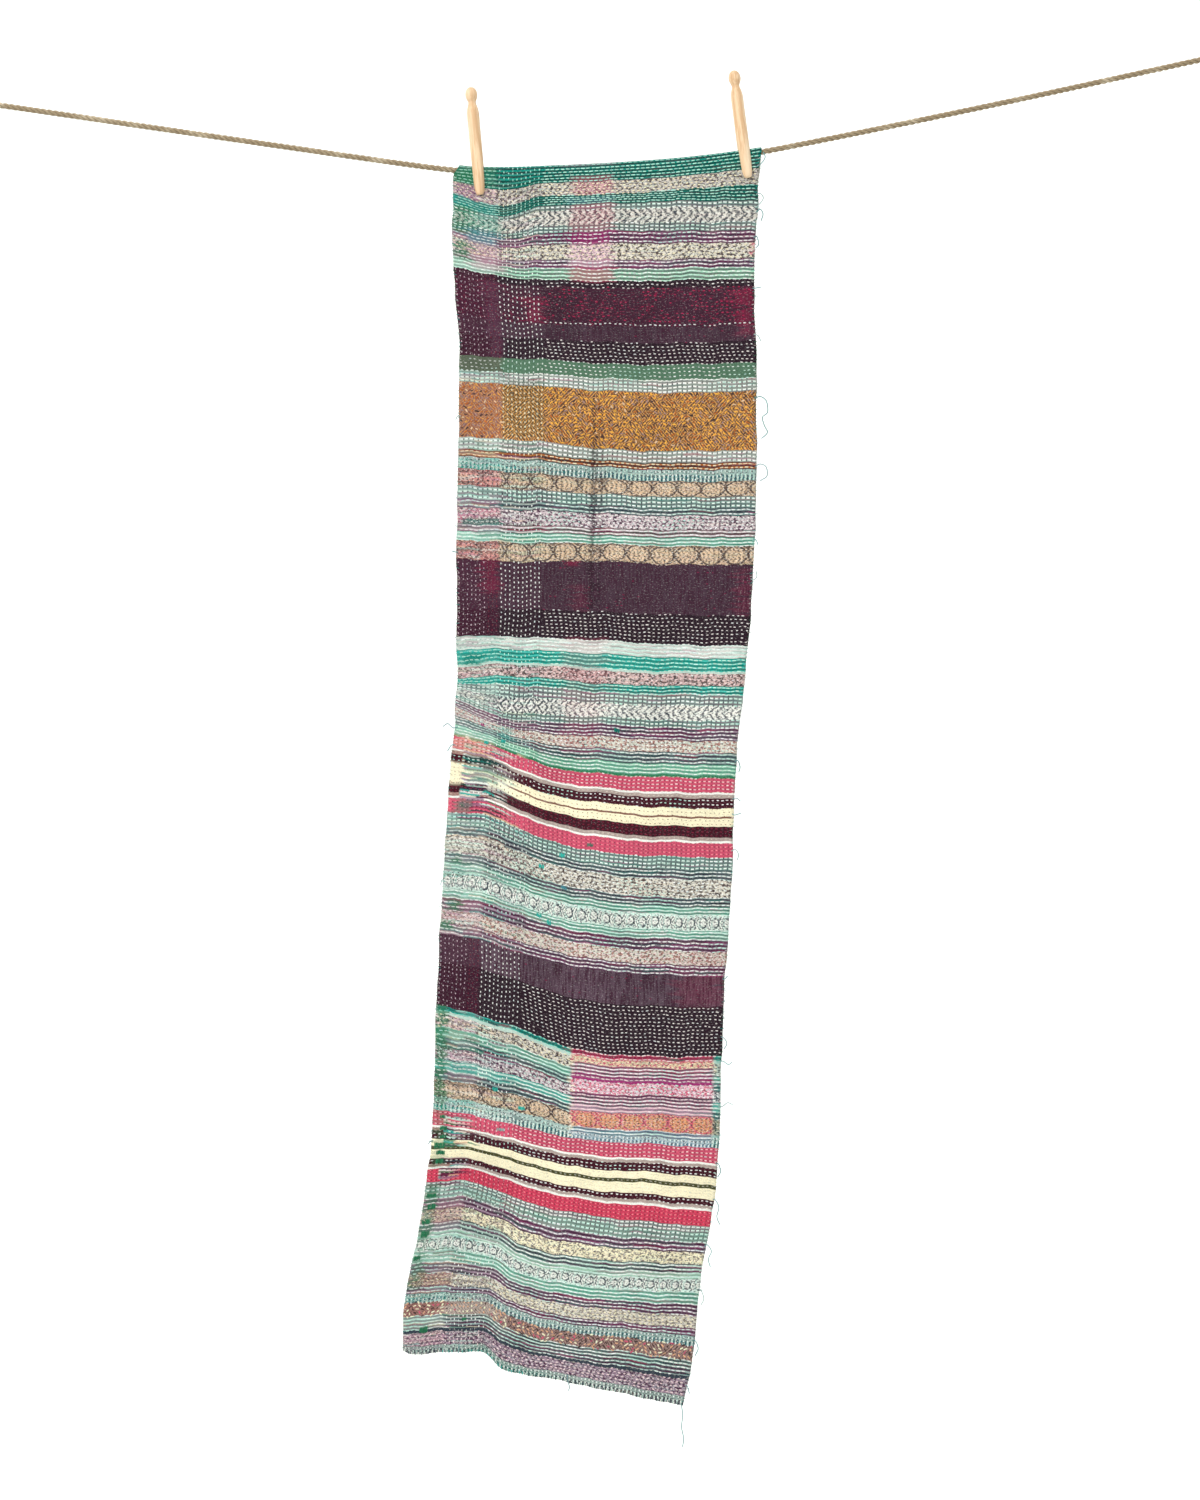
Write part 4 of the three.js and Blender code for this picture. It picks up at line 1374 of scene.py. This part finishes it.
def addSheet():
    rows, columns, bent = sheetGrid()
    shape = len(rows), len(columns)
    across, row = np.tile(columns, len(rows)), np.repeat(rows, len(columns))
    key = keyAt(row)
    middle, out = hangs(across, key), directions(across, key)[2]
    front = middle + out * frontHalf(across, row)[:, None]
    back = middle - out * clothPly / 2
    at = np.arange(len(across)).reshape(shape)
    face = np.stack([at[:-1, :-1], at[1:, :-1], at[1:, 1:], at[:-1, 1:]], axis=-1).reshape(-1, 4)
    plain = plainFaces(at, bent, columns)
    ring = np.concatenate([at[0, :], at[1:, -1], at[-1, -2::-1], at[-2:0:-1, 0]])
    wall = np.stack([ring, np.roll(ring, -1), np.roll(ring, -1), ring], axis=1)
    flat = np.concatenate(plain)
    used = np.zeros(len(across), bool)
    used[flat] = True
    number = np.cumsum(used) - 1 + len(across)
    behind = [[number[i] for i in corners] for corners in plain]
    walls = np.hstack([wall[:, :2], number[wall[:, 2:]]])
    faces = face.tolist() + walls.tolist() + behind
    sheet = meshPiece("kantha_sheet", np.vstack([front, back[used]]), faces, striped, backing)
    sides = np.repeat([0, 1], [len(face) + len(wall), len(plain)]).astype(np.int32)
    sheet.data.polygons.foreach_set("material_index", sides)
    # each corner's colours and weave, read a little inside its face, and its two maps
    corner = np.concatenate([face.ravel(), wall.ravel(), flat])
    across, key = across[corner], key[corner]
    quads = 4 * (len(face) + len(wall))
    centre = np.repeat(key[:quads].reshape(-1, 4).mean(axis=1), 4)
    inner = np.concatenate([centre + cloth["inset"] * (key[:quads] - centre), key[quads:]])
    ground, figure, kind = colourAt(across, inner)
    share = np.where(onPatch(across, key), patch.share(inner, key), stripes.share(inner, key))
    strength = 1 - cloth["paler"] * smoothStep((cloth["strip"] - across) / 4)
    writeEach(sheet, "ground", "color", ground, "CORNER")
    writeEach(sheet, "figure", "color", figure, "CORNER")
    weave = np.stack([kind, np.clip(share, 0, 1), strength], axis=1)
    writeEach(sheet, "weave", "vector", weave, "CORNER")
    addMap(sheet, "cloth", np.stack([across, rowAt(key) * cloth["rowPitch"]], axis=1) * mm)
    number = np.arange(len(corner))
    onWall = (number >= 4 * len(face)) & (number < quads) & (number % 4 > 1)
    lip = onWall * np.sign(across - cloth["width"] / 2) * bake["lip"]
    addMap(sheet, "OFBake", bakePlaces(across, inner, lip, number >= quads))
    return finishPiece(sheet, "kantha_cloth")


sheet = addSheet()
print("cloth hung:", len(sheet.data.polygons), "faces")

# The cloth: running stitches

threads = {
    "white": "f8f7f2", "cream": "f4e6c2", "mint": "cdeede", "aqua": "a2dfcc", "sea": "b9ead9",
    "apricot": "e8b08a", "pinkWhite": "f2d9d9", "oyster": "f6ece8", "mustard": "f6b045",
    "wineThread": "7a2238", "brown": "7d4a38", "coralThread": "f0a0ac", "tonal": "3a2430",
    "none": "ece4d4", "oldPink": "d3bcc6",
}
stitch = {
    "height": 0.66,
    "lift": 0.02,
    "column": (2.5, 1.5),  # length and width
    "plain": (2.8, 1.15),
    "ribs": (2.9, 1.35),
    "flecks": (2.7, 1.2),
    "streaks": (2.7, 1.1),
    "lines": (4.6, 1.25),
    "grid": (3.5, 1.55),
    "mottle": (3.1, 1.4),
    "squiggle": (4.8, 1.65),
    "chevronRight": (3.0, 1.1),
    "chevronLeft": (3.0, 1.1),
    "ringChain": (2.6, 1.0),
    "ticks": (2.6, 1.25),
    "scroll": (2.8, 1.1),
    "dotsEnd": 31.0,  # pale dots reach this far into the outer strip, wine ones fill the rest
    "outerDots": (0.85, 0.78, 1),  # factors on the size of the column stitches
    "darkColumns": (0.89, 0.82, 1),
    "paleColumns": (0.95, 0.82, 1),
    "squiggleColumns": (0.95, 1.6, 1),
    "brown": (0.5, 0.7, 0.9),  # and on two finer threads along the rows
    "coral": (0.6, 0.65, 1),
    "uneven": ((0.13, 0.6, 1.4), (0.1, 0.7, 1.3)),  # in length and width: spread, least and most
    "lean": 0.8,  # radians, of a squiggle's stitches
    "strays": (0.35, 0.07),  # radians, in squiggles and mottles and elsewhere
    "lost": 0.012,  # the share worn away, and of the outer strip's dots
    "lostDots": 0.08,
    "keptInBorder": 0.85,  # how far a thread keeps its own colour beside the cloth's
    "keptInStrip": 0.65,
    "sunk": 0.55,  # how far a thread called none takes the cloth's
    "stripLot": 0.62,  # less than 1 gives the outer strip more of the other threads
    "aqua": 0.7,  # how far the white drifts to it
    "tonal": 0.8,  # how deep the dark bands' own thread is, beside their cloth
    "mottled": 0.09,  # how unevenly the threads are dyed
    "dulledShare": 0.1,  # of them drawn down by the next
    "dulled": (0.78, 0.86, 0.9),
    "behind": (2.5, 1.1, 0.6),  # length, width and height of the dashes on the plain side
    "behindUneven": 0.1,
    "behindSunk": 0.05,
    "behindShade": (0.86, 0.05),  # usual, and how far it strays
    "behindTone": (1.0, 0.97, 0.9),
    "clear": 2,  # of the bend over the line
    "sides": 4,
    "backSides": 3,
}
otherThreads = [  # thread of a stripe, then the share of its stitches in another shade
    ("mustard", 0.0, 0.22, "rust"), ("mustard", 0.22, 0.38, "mauveBrown"),
    ("mustard", 0.38, 0.44, "peach"), ("mustard", 0.44, 0.54, "umberDark"),
    ("apricot", 0.0, 0.2, "umberDark"), ("apricot", 0.2, 0.45, "cream"),
    ("apricot", 0.45, 0.56, "rose"),
]
palette = {name: np.array(dye(code)) for name, code in threads.items()}
# the dark bands' crimson threads: their shade, the share of them, and how far clumps swing it
reds = {"flecks": ("b3264e", 0.42, 0.42), "elsewhere": ("7d2343", 0.05, 0.1)}
chance = np.random.default_rng(11)


def grainShape(sides):
    # one stitch, unit sized: a short rounded bar with its ends drawn down into the cloth
    deselectAll()
    bpy.ops.mesh.primitive_cylinder_add(
        vertices=sides, radius=1, depth=1.1, end_fill_type="TRIFAN", rotation=(0, math.pi / 2, 0)
    )
    bar = bpy.context.object
    bpy.ops.object.transform_apply(location=False, rotation=True, scale=False)
    points = np.array([v.co[:] for v in bar.data.vertices])
    faces = [list(p.vertices) for p in bar.data.polygons]
    tips = np.hypot(points[:, 1], points[:, 2]) < 0.01
    points[tips, 0] *= 1 / 0.55
    points[tips, 2] = -0.5
    bpy.data.meshes.remove(bar.data)
    return points, faces


def addThreads(name, points, faces, colours, laid):
    piece = meshPiece(name, points, faces, threadCotton)
    writeEach(piece, "dye", "color", colours)
    writeEach(piece, "thread", "vector", laid)
    return finishPiece(piece)


def scatter(name, shape, places, alongs, sides, outs, sizes, colours):
    # one mesh of many stitches: each place with its three directions and (length, width, height)
    points, faces = shape
    count, size = len(places), len(points)
    half = sizes / 2
    laid = places[:, None, :]
    for i, way in enumerate((alongs, sides, outs)):
        laid = laid + way[:, None, :] * (half[:, i, None] * points[:, i])[..., None]
    corners = np.concatenate([np.asarray(f) for f in faces])
    every = (corners[None, :] + (np.arange(count) * size)[:, None]).ravel()
    cuts = np.cumsum(np.tile([len(f) for f in faces], count))[:-1]
    turn = np.tile(np.arctan2(points[:, 1], points[:, 2]) / fullTurn, count)
    twist = np.stack([np.outer(half[:, 0], points[:, 0]).ravel(), turn, 0 * turn], axis=1)
    dyes = np.repeat(colours, size, axis=0)
    return addThreads(name, laid.reshape(-1, 3), np.split(every, cuts), dyes, twist)


def threadColours(across, key, column):
    names = stripes.thread[stripes.at(key)].copy()
    inPatch = onPatch(across, key)
    names[inPatch] = patch.thread[patch.at(key[inPatch])]
    dark, inStrip = darkStripes[stripes.at(key)], across < cloth["strip"]
    if column:
        names[dark] = "white"
        names[dark & inStrip] = "oldPink"
        names[dark & inStrip & (across > stitch["dotsEnd"])] = "wineThread"
        names[names == "mustard"] = "cream"
    colours = np.array([palette[n] for n in names])
    ground, figure, kind = colourAt(across, key)
    kept = np.where(column, stitch["keptInBorder"], np.where(inStrip, stitch["keptInStrip"], 1.0))
    colours = blend(ground, colours, np.where(dark, 1.0, kept))
    plain = names == "none"
    colours[plain] = blend(colours[plain], ground[plain], stitch["sunk"])
    lot = chance.random(len(across))
    lot[inStrip] *= stitch["stripLot"]
    for name, low, high, shade in otherThreads:
        colours[(names == name) & (lot >= low) & (lot < high)] = dye(shades[shade])
    drift = np.sin(across / 19 + 2 * np.sin(key / 23)) * np.sin(key / 15 + 1.7)
    drifting = (names == "white") & ~dark
    colours = blend(colours, palette["aqua"], drifting * np.clip(drift, 0, 1) * stitch["aqua"])
    # in the dark bands some threads are crimson, more of them in clumps
    tonal, flecked = names == "tonal", kind == kinds.index("flecks")
    clump = np.sin(across / 11 + 2.1 * np.sin(key / 13)) * np.sin(key / 9 + 1.3 * np.sin(across / 17))
    (fleck, some, swing), (other, few, sway) = reds["flecks"], reds["elsewhere"]
    red = np.where(flecked, some + swing * clump, few + sway * clump)
    bright = np.where(flecked[:, None], dye(fleck), dye(other))
    toned = np.where((chance.random(len(across)) < red)[:, None], bright, ground * stitch["tonal"])
    colours[tonal] = toned[tonal]
    grey = chance.normal(1.0, stitch["mottled"], (len(across), 1))
    dulled = chance.random((len(across), 1)) < stitch["dulledShare"]
    colours = np.where(dulled, colours * stitch["dulled"], colours)
    return np.clip(colours * grey, 0.005, 0.95), names, dark, kind


running = {
    "evenStep": 0.12,  # of a pitch, from one row's start to the next, in the plain bands
    "step": 0.5,  # and elsewhere
    "strayStep": 0.08,
    "evenPitch": 0.005,  # how uneven a row's pitch is, in the same way
    "pitch": 0.02,
    "stray": (0.28, 0.03),  # of a stitch, across in millimetres and down in rows
    "columnStray": (0.16, 0.07),
    "clear": 2.2,  # of the right edge, and of the outer strip's end
    "stripClear": 1.5,
    "stripShift": 0.6,
}


def rowStitches():
    # running stitches along the rows of the field, each row a little out of step with the next
    across, row, drift = [], [], 0.0
    for r in np.arange(int(lastRow)) + 0.5:
        stripe = stripes.at(np.array([keyAt(r)]))[0]
        kind = kinds[stripes.kind[stripe]]
        even = kind in ("plain", "flecks", "streaks")
        step = running["evenStep" if even else "step"]
        drift = (drift + step + chance.normal(0, running["strayStep"])) % 1
        if even or kind in ("squiggle", "mottle", "lines"):
            pitch = cloth["stitchPitch"] * chance.normal(1, running["evenPitch" if even else "pitch"])
            outer = (drift + 0.2) * pitch
            first = cloth["border"] + outer
        else:  # in step with the posts or ticks of the weave
            pitch = cloth["tickPitch"] if kind == "ticks" else cloth["stitchPitch"]
            outer = 0.5 * pitch
            first = (math.ceil(cloth["border"] / pitch - 0.5) + 0.5) * pitch
        line = np.arange(first, cloth["width"] - running["clear"], pitch)
        if not darkStripes[stripe]:
            strip = np.arange(outer, cloth["strip"] - running["stripClear"], pitch)
            line = np.concatenate([strip + running["stripShift"], line])
        strayA, strayR = running["stray"]
        across.append(line + chance.normal(0, strayA, len(line)))
        row.append(np.full(len(line), r) + chance.normal(0, strayR, len(line)))
    return np.concatenate(across), np.concatenate(row)


columnStep = cloth["columnPitch"] / cloth["rowPitch"]  # in rows


def columnStitches():
    # down the border: neighbouring columns start in a wave, every second one a little lower
    across, row = [], []
    pitch = cloth["border"] / cloth["columns"]
    for k in range(cloth["columns"]):
        start = 0.6 + columnStep * (0.5 + 0.4 * math.sin(0.55 * k) + 0.12 * (k % 2))
        line = np.arange(start + chance.normal(0, 0.06), lastRow - 0.6, columnStep)
        strayA, strayR = running["columnStray"]
        row.append(line + chance.normal(0, strayR, len(line)))
        across.append(np.full(len(line), (k + 0.5) * pitch) + chance.normal(0, strayA, len(line)))
    across, row = np.concatenate(across), np.concatenate(row)
    own = (across > cloth["strip"]) | darkStripes[stripes.at(keyAt(row))]
    return across[own], row[own]


def layStitches(name, shape, across, row, column, keep=True):
    key = keyAt(row)
    colours, names, dark, kind = threadColours(across, key, column)
    lost = (dark & (across < cloth["strip"])) * stitch["lostDots"] if column else stitch["lost"]
    live = (chance.random(len(across)) >= lost) & keep
    laid = across, row, key, colours, names, dark, kind
    across, row, key, colours, names, dark, kind = (values[live] for values in laid)
    right, down, out = directions(across, key)
    count = len(across)
    if column:
        along, side = down, right
        sizes = np.tile([*stitch["column"], stitch["height"]], (count, 1))
        sizes[dark & (across < cloth["strip"])] *= stitch["outerDots"]
        sizes[dark] *= stitch["darkColumns"]
        sizes[~dark] *= stitch["paleColumns"]
        sizes[kind == kinds.index("squiggle")] *= stitch["squiggleColumns"]
    else:
        sizes = np.array([(*stitch[name], stitch["height"]) for name in kinds])[kind]
        sizes[names == "brown"] *= stitch["brown"]
        sizes[names == "coralThread"] *= stitch["coral"]
        turned = stitch["lean"] * np.sign(np.sin(across / 6.5 + 2.2 * np.sin(key / 8)))
        squiggled, ticked = kind == kinds.index("squiggle"), kind == kinds.index("ticks")
        loose = np.where(squiggled | (kind == kinds.index("mottle")), *stitch["strays"])
        slant = squiggled * turned + ticked * math.pi / 2 + chance.normal(0, 1, count) * loose
        cos, sin = np.cos(slant)[:, None], np.sin(slant)[:, None]
        along, side = right * cos + down * sin, down * cos - right * sin
    for i, (spread, least, most) in enumerate(stitch["uneven"]):
        sizes[:, i] *= np.clip(chance.normal(1, spread, count), least, most)
    lift = frontHalf(across, row) + stitch["lift"]
    places = hangs(across, key) + out * lift[:, None]
    return scatter(name, shape, places, along, side, out, sizes, colours)


def layBehind(name, shape, across, row, column, keep):
    across, key = across[keep], keyAt(row[keep])
    right, down, out = directions(across, key)
    along, side = (down, right) if column else (right, down)
    sizes = np.array(stitch["behind"]) * chance.normal(1, stitch["behindUneven"], (len(across), 1))
    places = hangs(across, key) - out * (clothPly / 2 - stitch["behindSunk"])
    tone = chance.normal(*stitch["behindShade"], (len(across), 1)) * stitch["behindTone"]
    return scatter(name, shape, places, along, -side, -out, sizes, np.clip(tone, 0.2, 0.95))


def clearOfBend(row):
    key = keyAt(row)
    return (key < topKey - bendLength - stitch["clear"]) | (key > topKey + stitch["clear"])


def addStitches():
    grain, thin = grainShape(stitch["sides"]), grainShape(stitch["backSides"])
    across, row = rowStitches()
    upper = row < lastRow / 2
    pieces = [layStitches("stitches_upper", grain, across, row, False, upper),
              layStitches("stitches_lower", grain, across, row, False, ~upper)]
    acrossC, rowC = columnStitches()
    pieces.append(layStitches("stitches_border", grain, acrossC, rowC, True))
    across = np.minimum(across + cloth["stitchPitch"] / 2, cloth["width"] - 2)
    clear = clearOfBend(row)
    pieces.append(layBehind("stitches_back_upper", thin, across, row, False, clear & upper))
    pieces.append(layBehind("stitches_back_lower", thin, across, row, False, clear & ~upper))
    shifted = rowC + 0.5 * columnStep
    keep = clearOfBend(rowC) & (shifted < lastRow - 0.4)
    pieces.append(layBehind("stitches_back_border", thin, acrossC, shifted, True, keep))
    return pieces


stitches = addStitches()
print("running stitches laid:", sum(len(p.data.polygons) for p in stitches), "faces")

# The cloth: overcast edges, darns and loose threads


def tubes(name, paths, radii, colours, sides=4):
    # thin round threads through each path of points, closed at both ends
    points, faces, laid = [], [], []
    around = fullTurn * np.arange(sides) / sides
    for path, radius in zip(paths, radii):
        ahead = unit(np.gradient(path, axis=0))
        side = unit(np.cross(ahead, (0.31, 0.87, 0.38)))  # a way that no thread runs
        up = np.cross(side, ahead)
        away = np.cos(around)[:, None] * side[:, None, :] + np.sin(around)[:, None] * up[:, None, :]
        faces += ringFaces(len(path), sides, sum(map(len, points)))
        points.append((path[:, None, :] + radius * away).reshape(-1, 3))
        run = np.concatenate([[0], np.cumsum(np.linalg.norm(np.diff(path, axis=0), axis=1))])
        turn = np.tile(around / fullTurn, len(path))
        laid.append(np.stack([np.repeat(run, sides), turn, 0 * turn], axis=1))
    dyes = np.repeat(colours, [len(ring) for ring in points], axis=0)
    piece = addThreads(name, np.vstack(points), faces, dyes, np.vstack(laid))
    facesOutward(piece)
    return piece


def onFace(across, key, lift):
    across, key = np.atleast_1d(np.asarray(across, float)), np.atleast_1d(np.asarray(key, float))
    return hangs(across, key) + directions(across, key)[2] * np.reshape(lift, (-1, 1))


edging = {
    "pitch": 4.2,
    "reach": 2.6,
    "radius": 0.36,
    "hemPitch": 3.6,
    "hemRadius": 0.45,
    "uneven": (0.7, 1.25),
    "slant": (0.6, 0.5),  # usual, and how far it strays
    "inset": 2,  # of the first and last thread, from a corner
    "clear": 3,  # of the bend over the line
    "stray": 0.5,
    "hemStray": 0.3,
    "mended": (38, 130),  # teal thread holds this part of the hem
    "shades": {"forest": 0.2, "teal": 0.14, "white": 0.3, "slateMint": 0.18, "ecru": 0.18},
    # how far a thread bends inward, and off the sheet's middle
    "bends": ((1.0, 0.55, 0.12, -0.22, 0.12, 0.7), (0.45, 0.98, 0.9, 0.0, -1.0, -0.95)),
}


def stapleOver(across, key, inA, inK):
    # a thread from the stitched face round the edge to the plain side; inA, inK point into the cloth
    inward, lift = np.array(edging["bends"])
    return onFace(across + inward * inA, key + inward * inK, lift)


def edgeStitches():
    paths, radii, colours = [], [], []
    places = np.arange(flapKey + edging["inset"], hemKey - edging["inset"], edging["pitch"])
    for across, inward in ((0.0, 1.0), (cloth["width"], -1.0)):
        for key in places + chance.normal(0, edging["stray"], len(places)):
            if topKey - bendLength - edging["clear"] < key < topKey + edging["clear"]:
                continue
            reach = edging["reach"] * inward * chance.uniform(*edging["uneven"])
            paths.append(stapleOver(across, key, reach, chance.normal(*edging["slant"])))
            radii.append(edging["radius"])
            here = colourAt(np.array([across]), np.array([key]))[0][0]
            shade = chance.choice(list(edging["shades"]), p=list(edging["shades"].values()))
            colours.append(0.5 * here + 0.5 * np.array(dye(shades[shade])))
    for key, inward in ((hemKey, -1.0), (flapKey, 1.0)):
        line = np.arange(edging["inset"], cloth["width"] - edging["inset"], edging["hemPitch"])
        for n, across in enumerate(line + chance.normal(0, edging["hemStray"], len(line))):
            slant = chance.normal(0, edging["hemStray"])
            paths.append(stapleOver(across, key, slant, inward * edging["reach"]))
            radii.append(edging["hemRadius"])
            mended = edging["mended"][0] < across < edging["mended"][1]
            shade = ("teal", "slateMint")[n % 3 == 0] if mended else ("white", "slate")[n % 2]
            colours.append(np.array(dye(shades[shade])))
    return tubes("edge_stitches", paths, radii, colours)


darns = [  # small patches of satin stitch: across, key, size across, size down, colour
    (52, 667, 5, 4, "teal"), (35, 678, 5, 4, "teal"), (172, 635, 6, 5, "emerald"),
    (121, 770, 6, 5, "teal"), (101, 787, 6, 5, "teal"), (126, 802, 7, 4, "blueTeal"),
    (101, 836, 6, 5, "teal"), (112, 840, 5, 6, "teal"), (22, 1276, 9, 8, "forest"),
    (64, 1266, 5, 4, "forest"), (9, 1086, 11, 9, "forest"), (11, 1105, 8, 6, "forest"),
    (12, 1068, 8, 5, "forest"), (11, 1056, 6, 4, "forest"), (12, 1077, 7, 4, "forest"),
    (11, 1095, 9, 5, "forest"), (10, 1152, 9, 7, "forest"), (8, 1176, 9, 9, "forest"),
    (5, 1200, 7, 6, "forest"), (8, 1141, 10, 5, "forest"), (7, 1165, 9, 6, "forest"),
    (30, 652, 4, 3, "magenta"), (64, 1020, 6, 5, "teal"), (92, 1032, 7, 5, "teal"),
    (88, 1042, 8, 4, "slateMint"), (150, 754, 7, 4, "greyGreen"), (72, 1058, 9, 4, "slateMint"),
]
darning = {
    "pitch": 0.95,
    "width": 1.05,
    "height": 0.8,
    "stray": (0.12, 0.35),  # across and down
    "lengths": (0.85, 1.15),
    "mottled": 0.12,
    "sunk": 0.8,  # how high they lie on the swelling between rows
}


def addDarns():
    strands, lengths, colours = [], [], []
    for across, key, wide, tall, shade in darns:
        for n in range(int(wide / darning["pitch"])):
            x = across - wide / 2 + darning["pitch"] * n + chance.normal(0, darning["stray"][0])
            strands.append((x, key + chance.normal(0, darning["stray"][1])))
            colours.append(np.array(dye(shades[shade])) * chance.normal(1, darning["mottled"]))
            lengths.append(tall * chance.uniform(*darning["lengths"]))
    across, key = np.array(strands).T
    right, down, out = directions(across, key)
    sizes = np.array([(length, darning["width"], darning["height"]) for length in lengths])
    places = onFace(across, key, cloth["valley"] + cloth["puff"] * darning["sunk"])
    colours = np.clip(colours, 0.004, 0.95)
    return scatter("darns", grainShape(stitch["sides"]), places, down, right, out, sizes, colours)


def loosePath(across, key, moves):
    # from a point inside the edge, out past it and through (along x, out of the face, up) moves
    start = onFace([across], [key], 0.6)[0]
    stops = np.array([(0, 0, 0), *moves], float)
    steps = np.linspace(0, len(moves), 5 * len(moves) + 1)
    turns = np.arange(len(stops))
    away = np.stack([smoothThrough(turns, column, steps) for column in stops.T], axis=1)
    return start + away * np.array([1, -1, 1])


loops = [  # threads pulled out at the edges: across, key, then where each goes
    (297, 68, [(5, 1, 3), (9, 2, 9), (7, 3, 14)]),
    (298, 96, [(4, 1, 1), (7, 3, -4), (4, 2, -9), (1, 1, -12)]),
    (298, 114, [(4, 2, 3), (7, 3, -2), (5, 3, -9)]), (298, 140, [(3, 1, 2), (5, 2, -6), (2, 1, -10)]),
    (298, 190, [(3, 1, 0), (9, 2, 1)]), (298, 236, [(4, 1, -1), (7, 2, -7)]),
    (298, 300, [(6, 2, 2), (12, 4, -3), (13, 5, -14), (8, 4, -19), (10, 3, -27), (13, 3, -34),
                (7, 2, -40)]),
    (298, 368, [(5, 1, 3), (11, 3, 0), (12, 3, -9), (5, 2, -14)]),
    (298, 440, [(3, 1, -1), (5, 2, -6)]), (298, 480, [(3, 1, -1), (6, 2, 2), (5, 2, 8)]),
    (298, 662, [(3, 1, 1), (5, 2, -5), (4, 1, -10)]),
    (298, 700, [(4, 1, 1), (8, 2, -2)]), (298, 715, [(3, 1, -1), (9, 2, 1)]),
    (298, 752, [(4, 1, 2), (7, 2, -3), (6, 1, -9)]), (298, 880, [(2, 1, 0), (5, 2, 3)]),
    (298, 938, [(3, 1, -1), (6, 2, -6), (3, 2, -12)]),
    (298, 962, [(4, 1, 0), (9, 2, -3), (13, 3, 0)]),
    (298, 1008, [(4, 1, 1), (9, 3, 5), (14, 3, 3)]),
    (298, 1064, [(3, 1, -1), (5, 2, -8), (2, 1, -14)]),
    (298, 1100, [(3, 1, -1), (6, 2, -8), (4, 2, -17), (7, 2, -25)]),
    (298, 1148, [(3, 1, 2), (7, 3, -4), (4, 2, -12), (6, 2, -20)]),
    (298, 1190, [(3, 1, -1), (6, 2, -9), (3, 2, -16)]),
    (298, 1240, [(3, 1, -1), (5, 2, -8), (2, 1, -15)]), (298, 1285, [(2, 1, -1), (4, 2, -8)]),
    (297, 1303, [(1, 1, -3), (2, 1, -12), (1, 0, -24), (3, -1, -35), (2, 0, -44)]),
    (2, 330, [(-3, 1, 0), (-5, 2, -4)]), (2, 459, [(-3, 1, 0), (-6, 1, 1)]),
    (3, 668, [(-5, 1, -1), (-10, 2, 3), (-15, 3, 0)]), (3, 690, [(-4, 1, 0), (-8, 2, -6)]),
    (2, 826, [(-3, 1, 1), (-4, 2, -4)]), (2, 1082, [(-3, 1, 0), (-5, 1, -3)]),
    (176, 1296, [(0, 1, -5), (2, 1, -12), (1, 1, -16)]), (60, 1296, [(0, 1, -4), (-1, 1, -9)]),
]
loose = {
    "shades": ("7fa6a8", "a3b7b6", "5f8f91", "7b999f"),
    "radius": 0.5,
    "fuzz": 150,  # short hairs along both edges
    "fuzzRadius": 0.19,
    "fuzzRight": 0.62,  # the share of it on the right edge
    "fuzzInset": 0.8,
    "fuzzReach": (1.5, 5.0),
    "fuzzRise": (-4, 3),
    "fuzzTone": (0.45, 1.0),
}


def addLooseThreads():
    pale = [np.array(dye(code)) for code in loose["shades"]]
    paths = [loosePath(across, key, moves) for across, key, moves in loops]
    colours = [pale[n % len(pale)] for n in range(len(loops))]
    for n in range(loose["fuzz"]):
        key = chance.uniform(topKey + 6, hemKey - 3)
        side = 1 if chance.random() < loose["fuzzRight"] else -1
        across = cloth["width"] - loose["fuzzInset"] if side > 0 else loose["fuzzInset"]
        reach, rise = side * chance.uniform(*loose["fuzzReach"]), chance.uniform(*loose["fuzzRise"])
        paths.append(loosePath(across, key, [(reach * 0.5, 0.5, rise * 0.2), (reach, 0.8, rise)]))
        colours.append(pale[n % len(pale)] * chance.uniform(*loose["fuzzTone"]))
    radii = np.repeat([loose["radius"], loose["fuzzRadius"]], [len(loops), loose["fuzz"]])
    return tubes("loose_threads", paths, radii, colours, 5)


onCloth = [edgeStitches(), addDarns(), addLooseThreads()]
print("edges overcast, darns and loose threads added")

stitches + onCloth
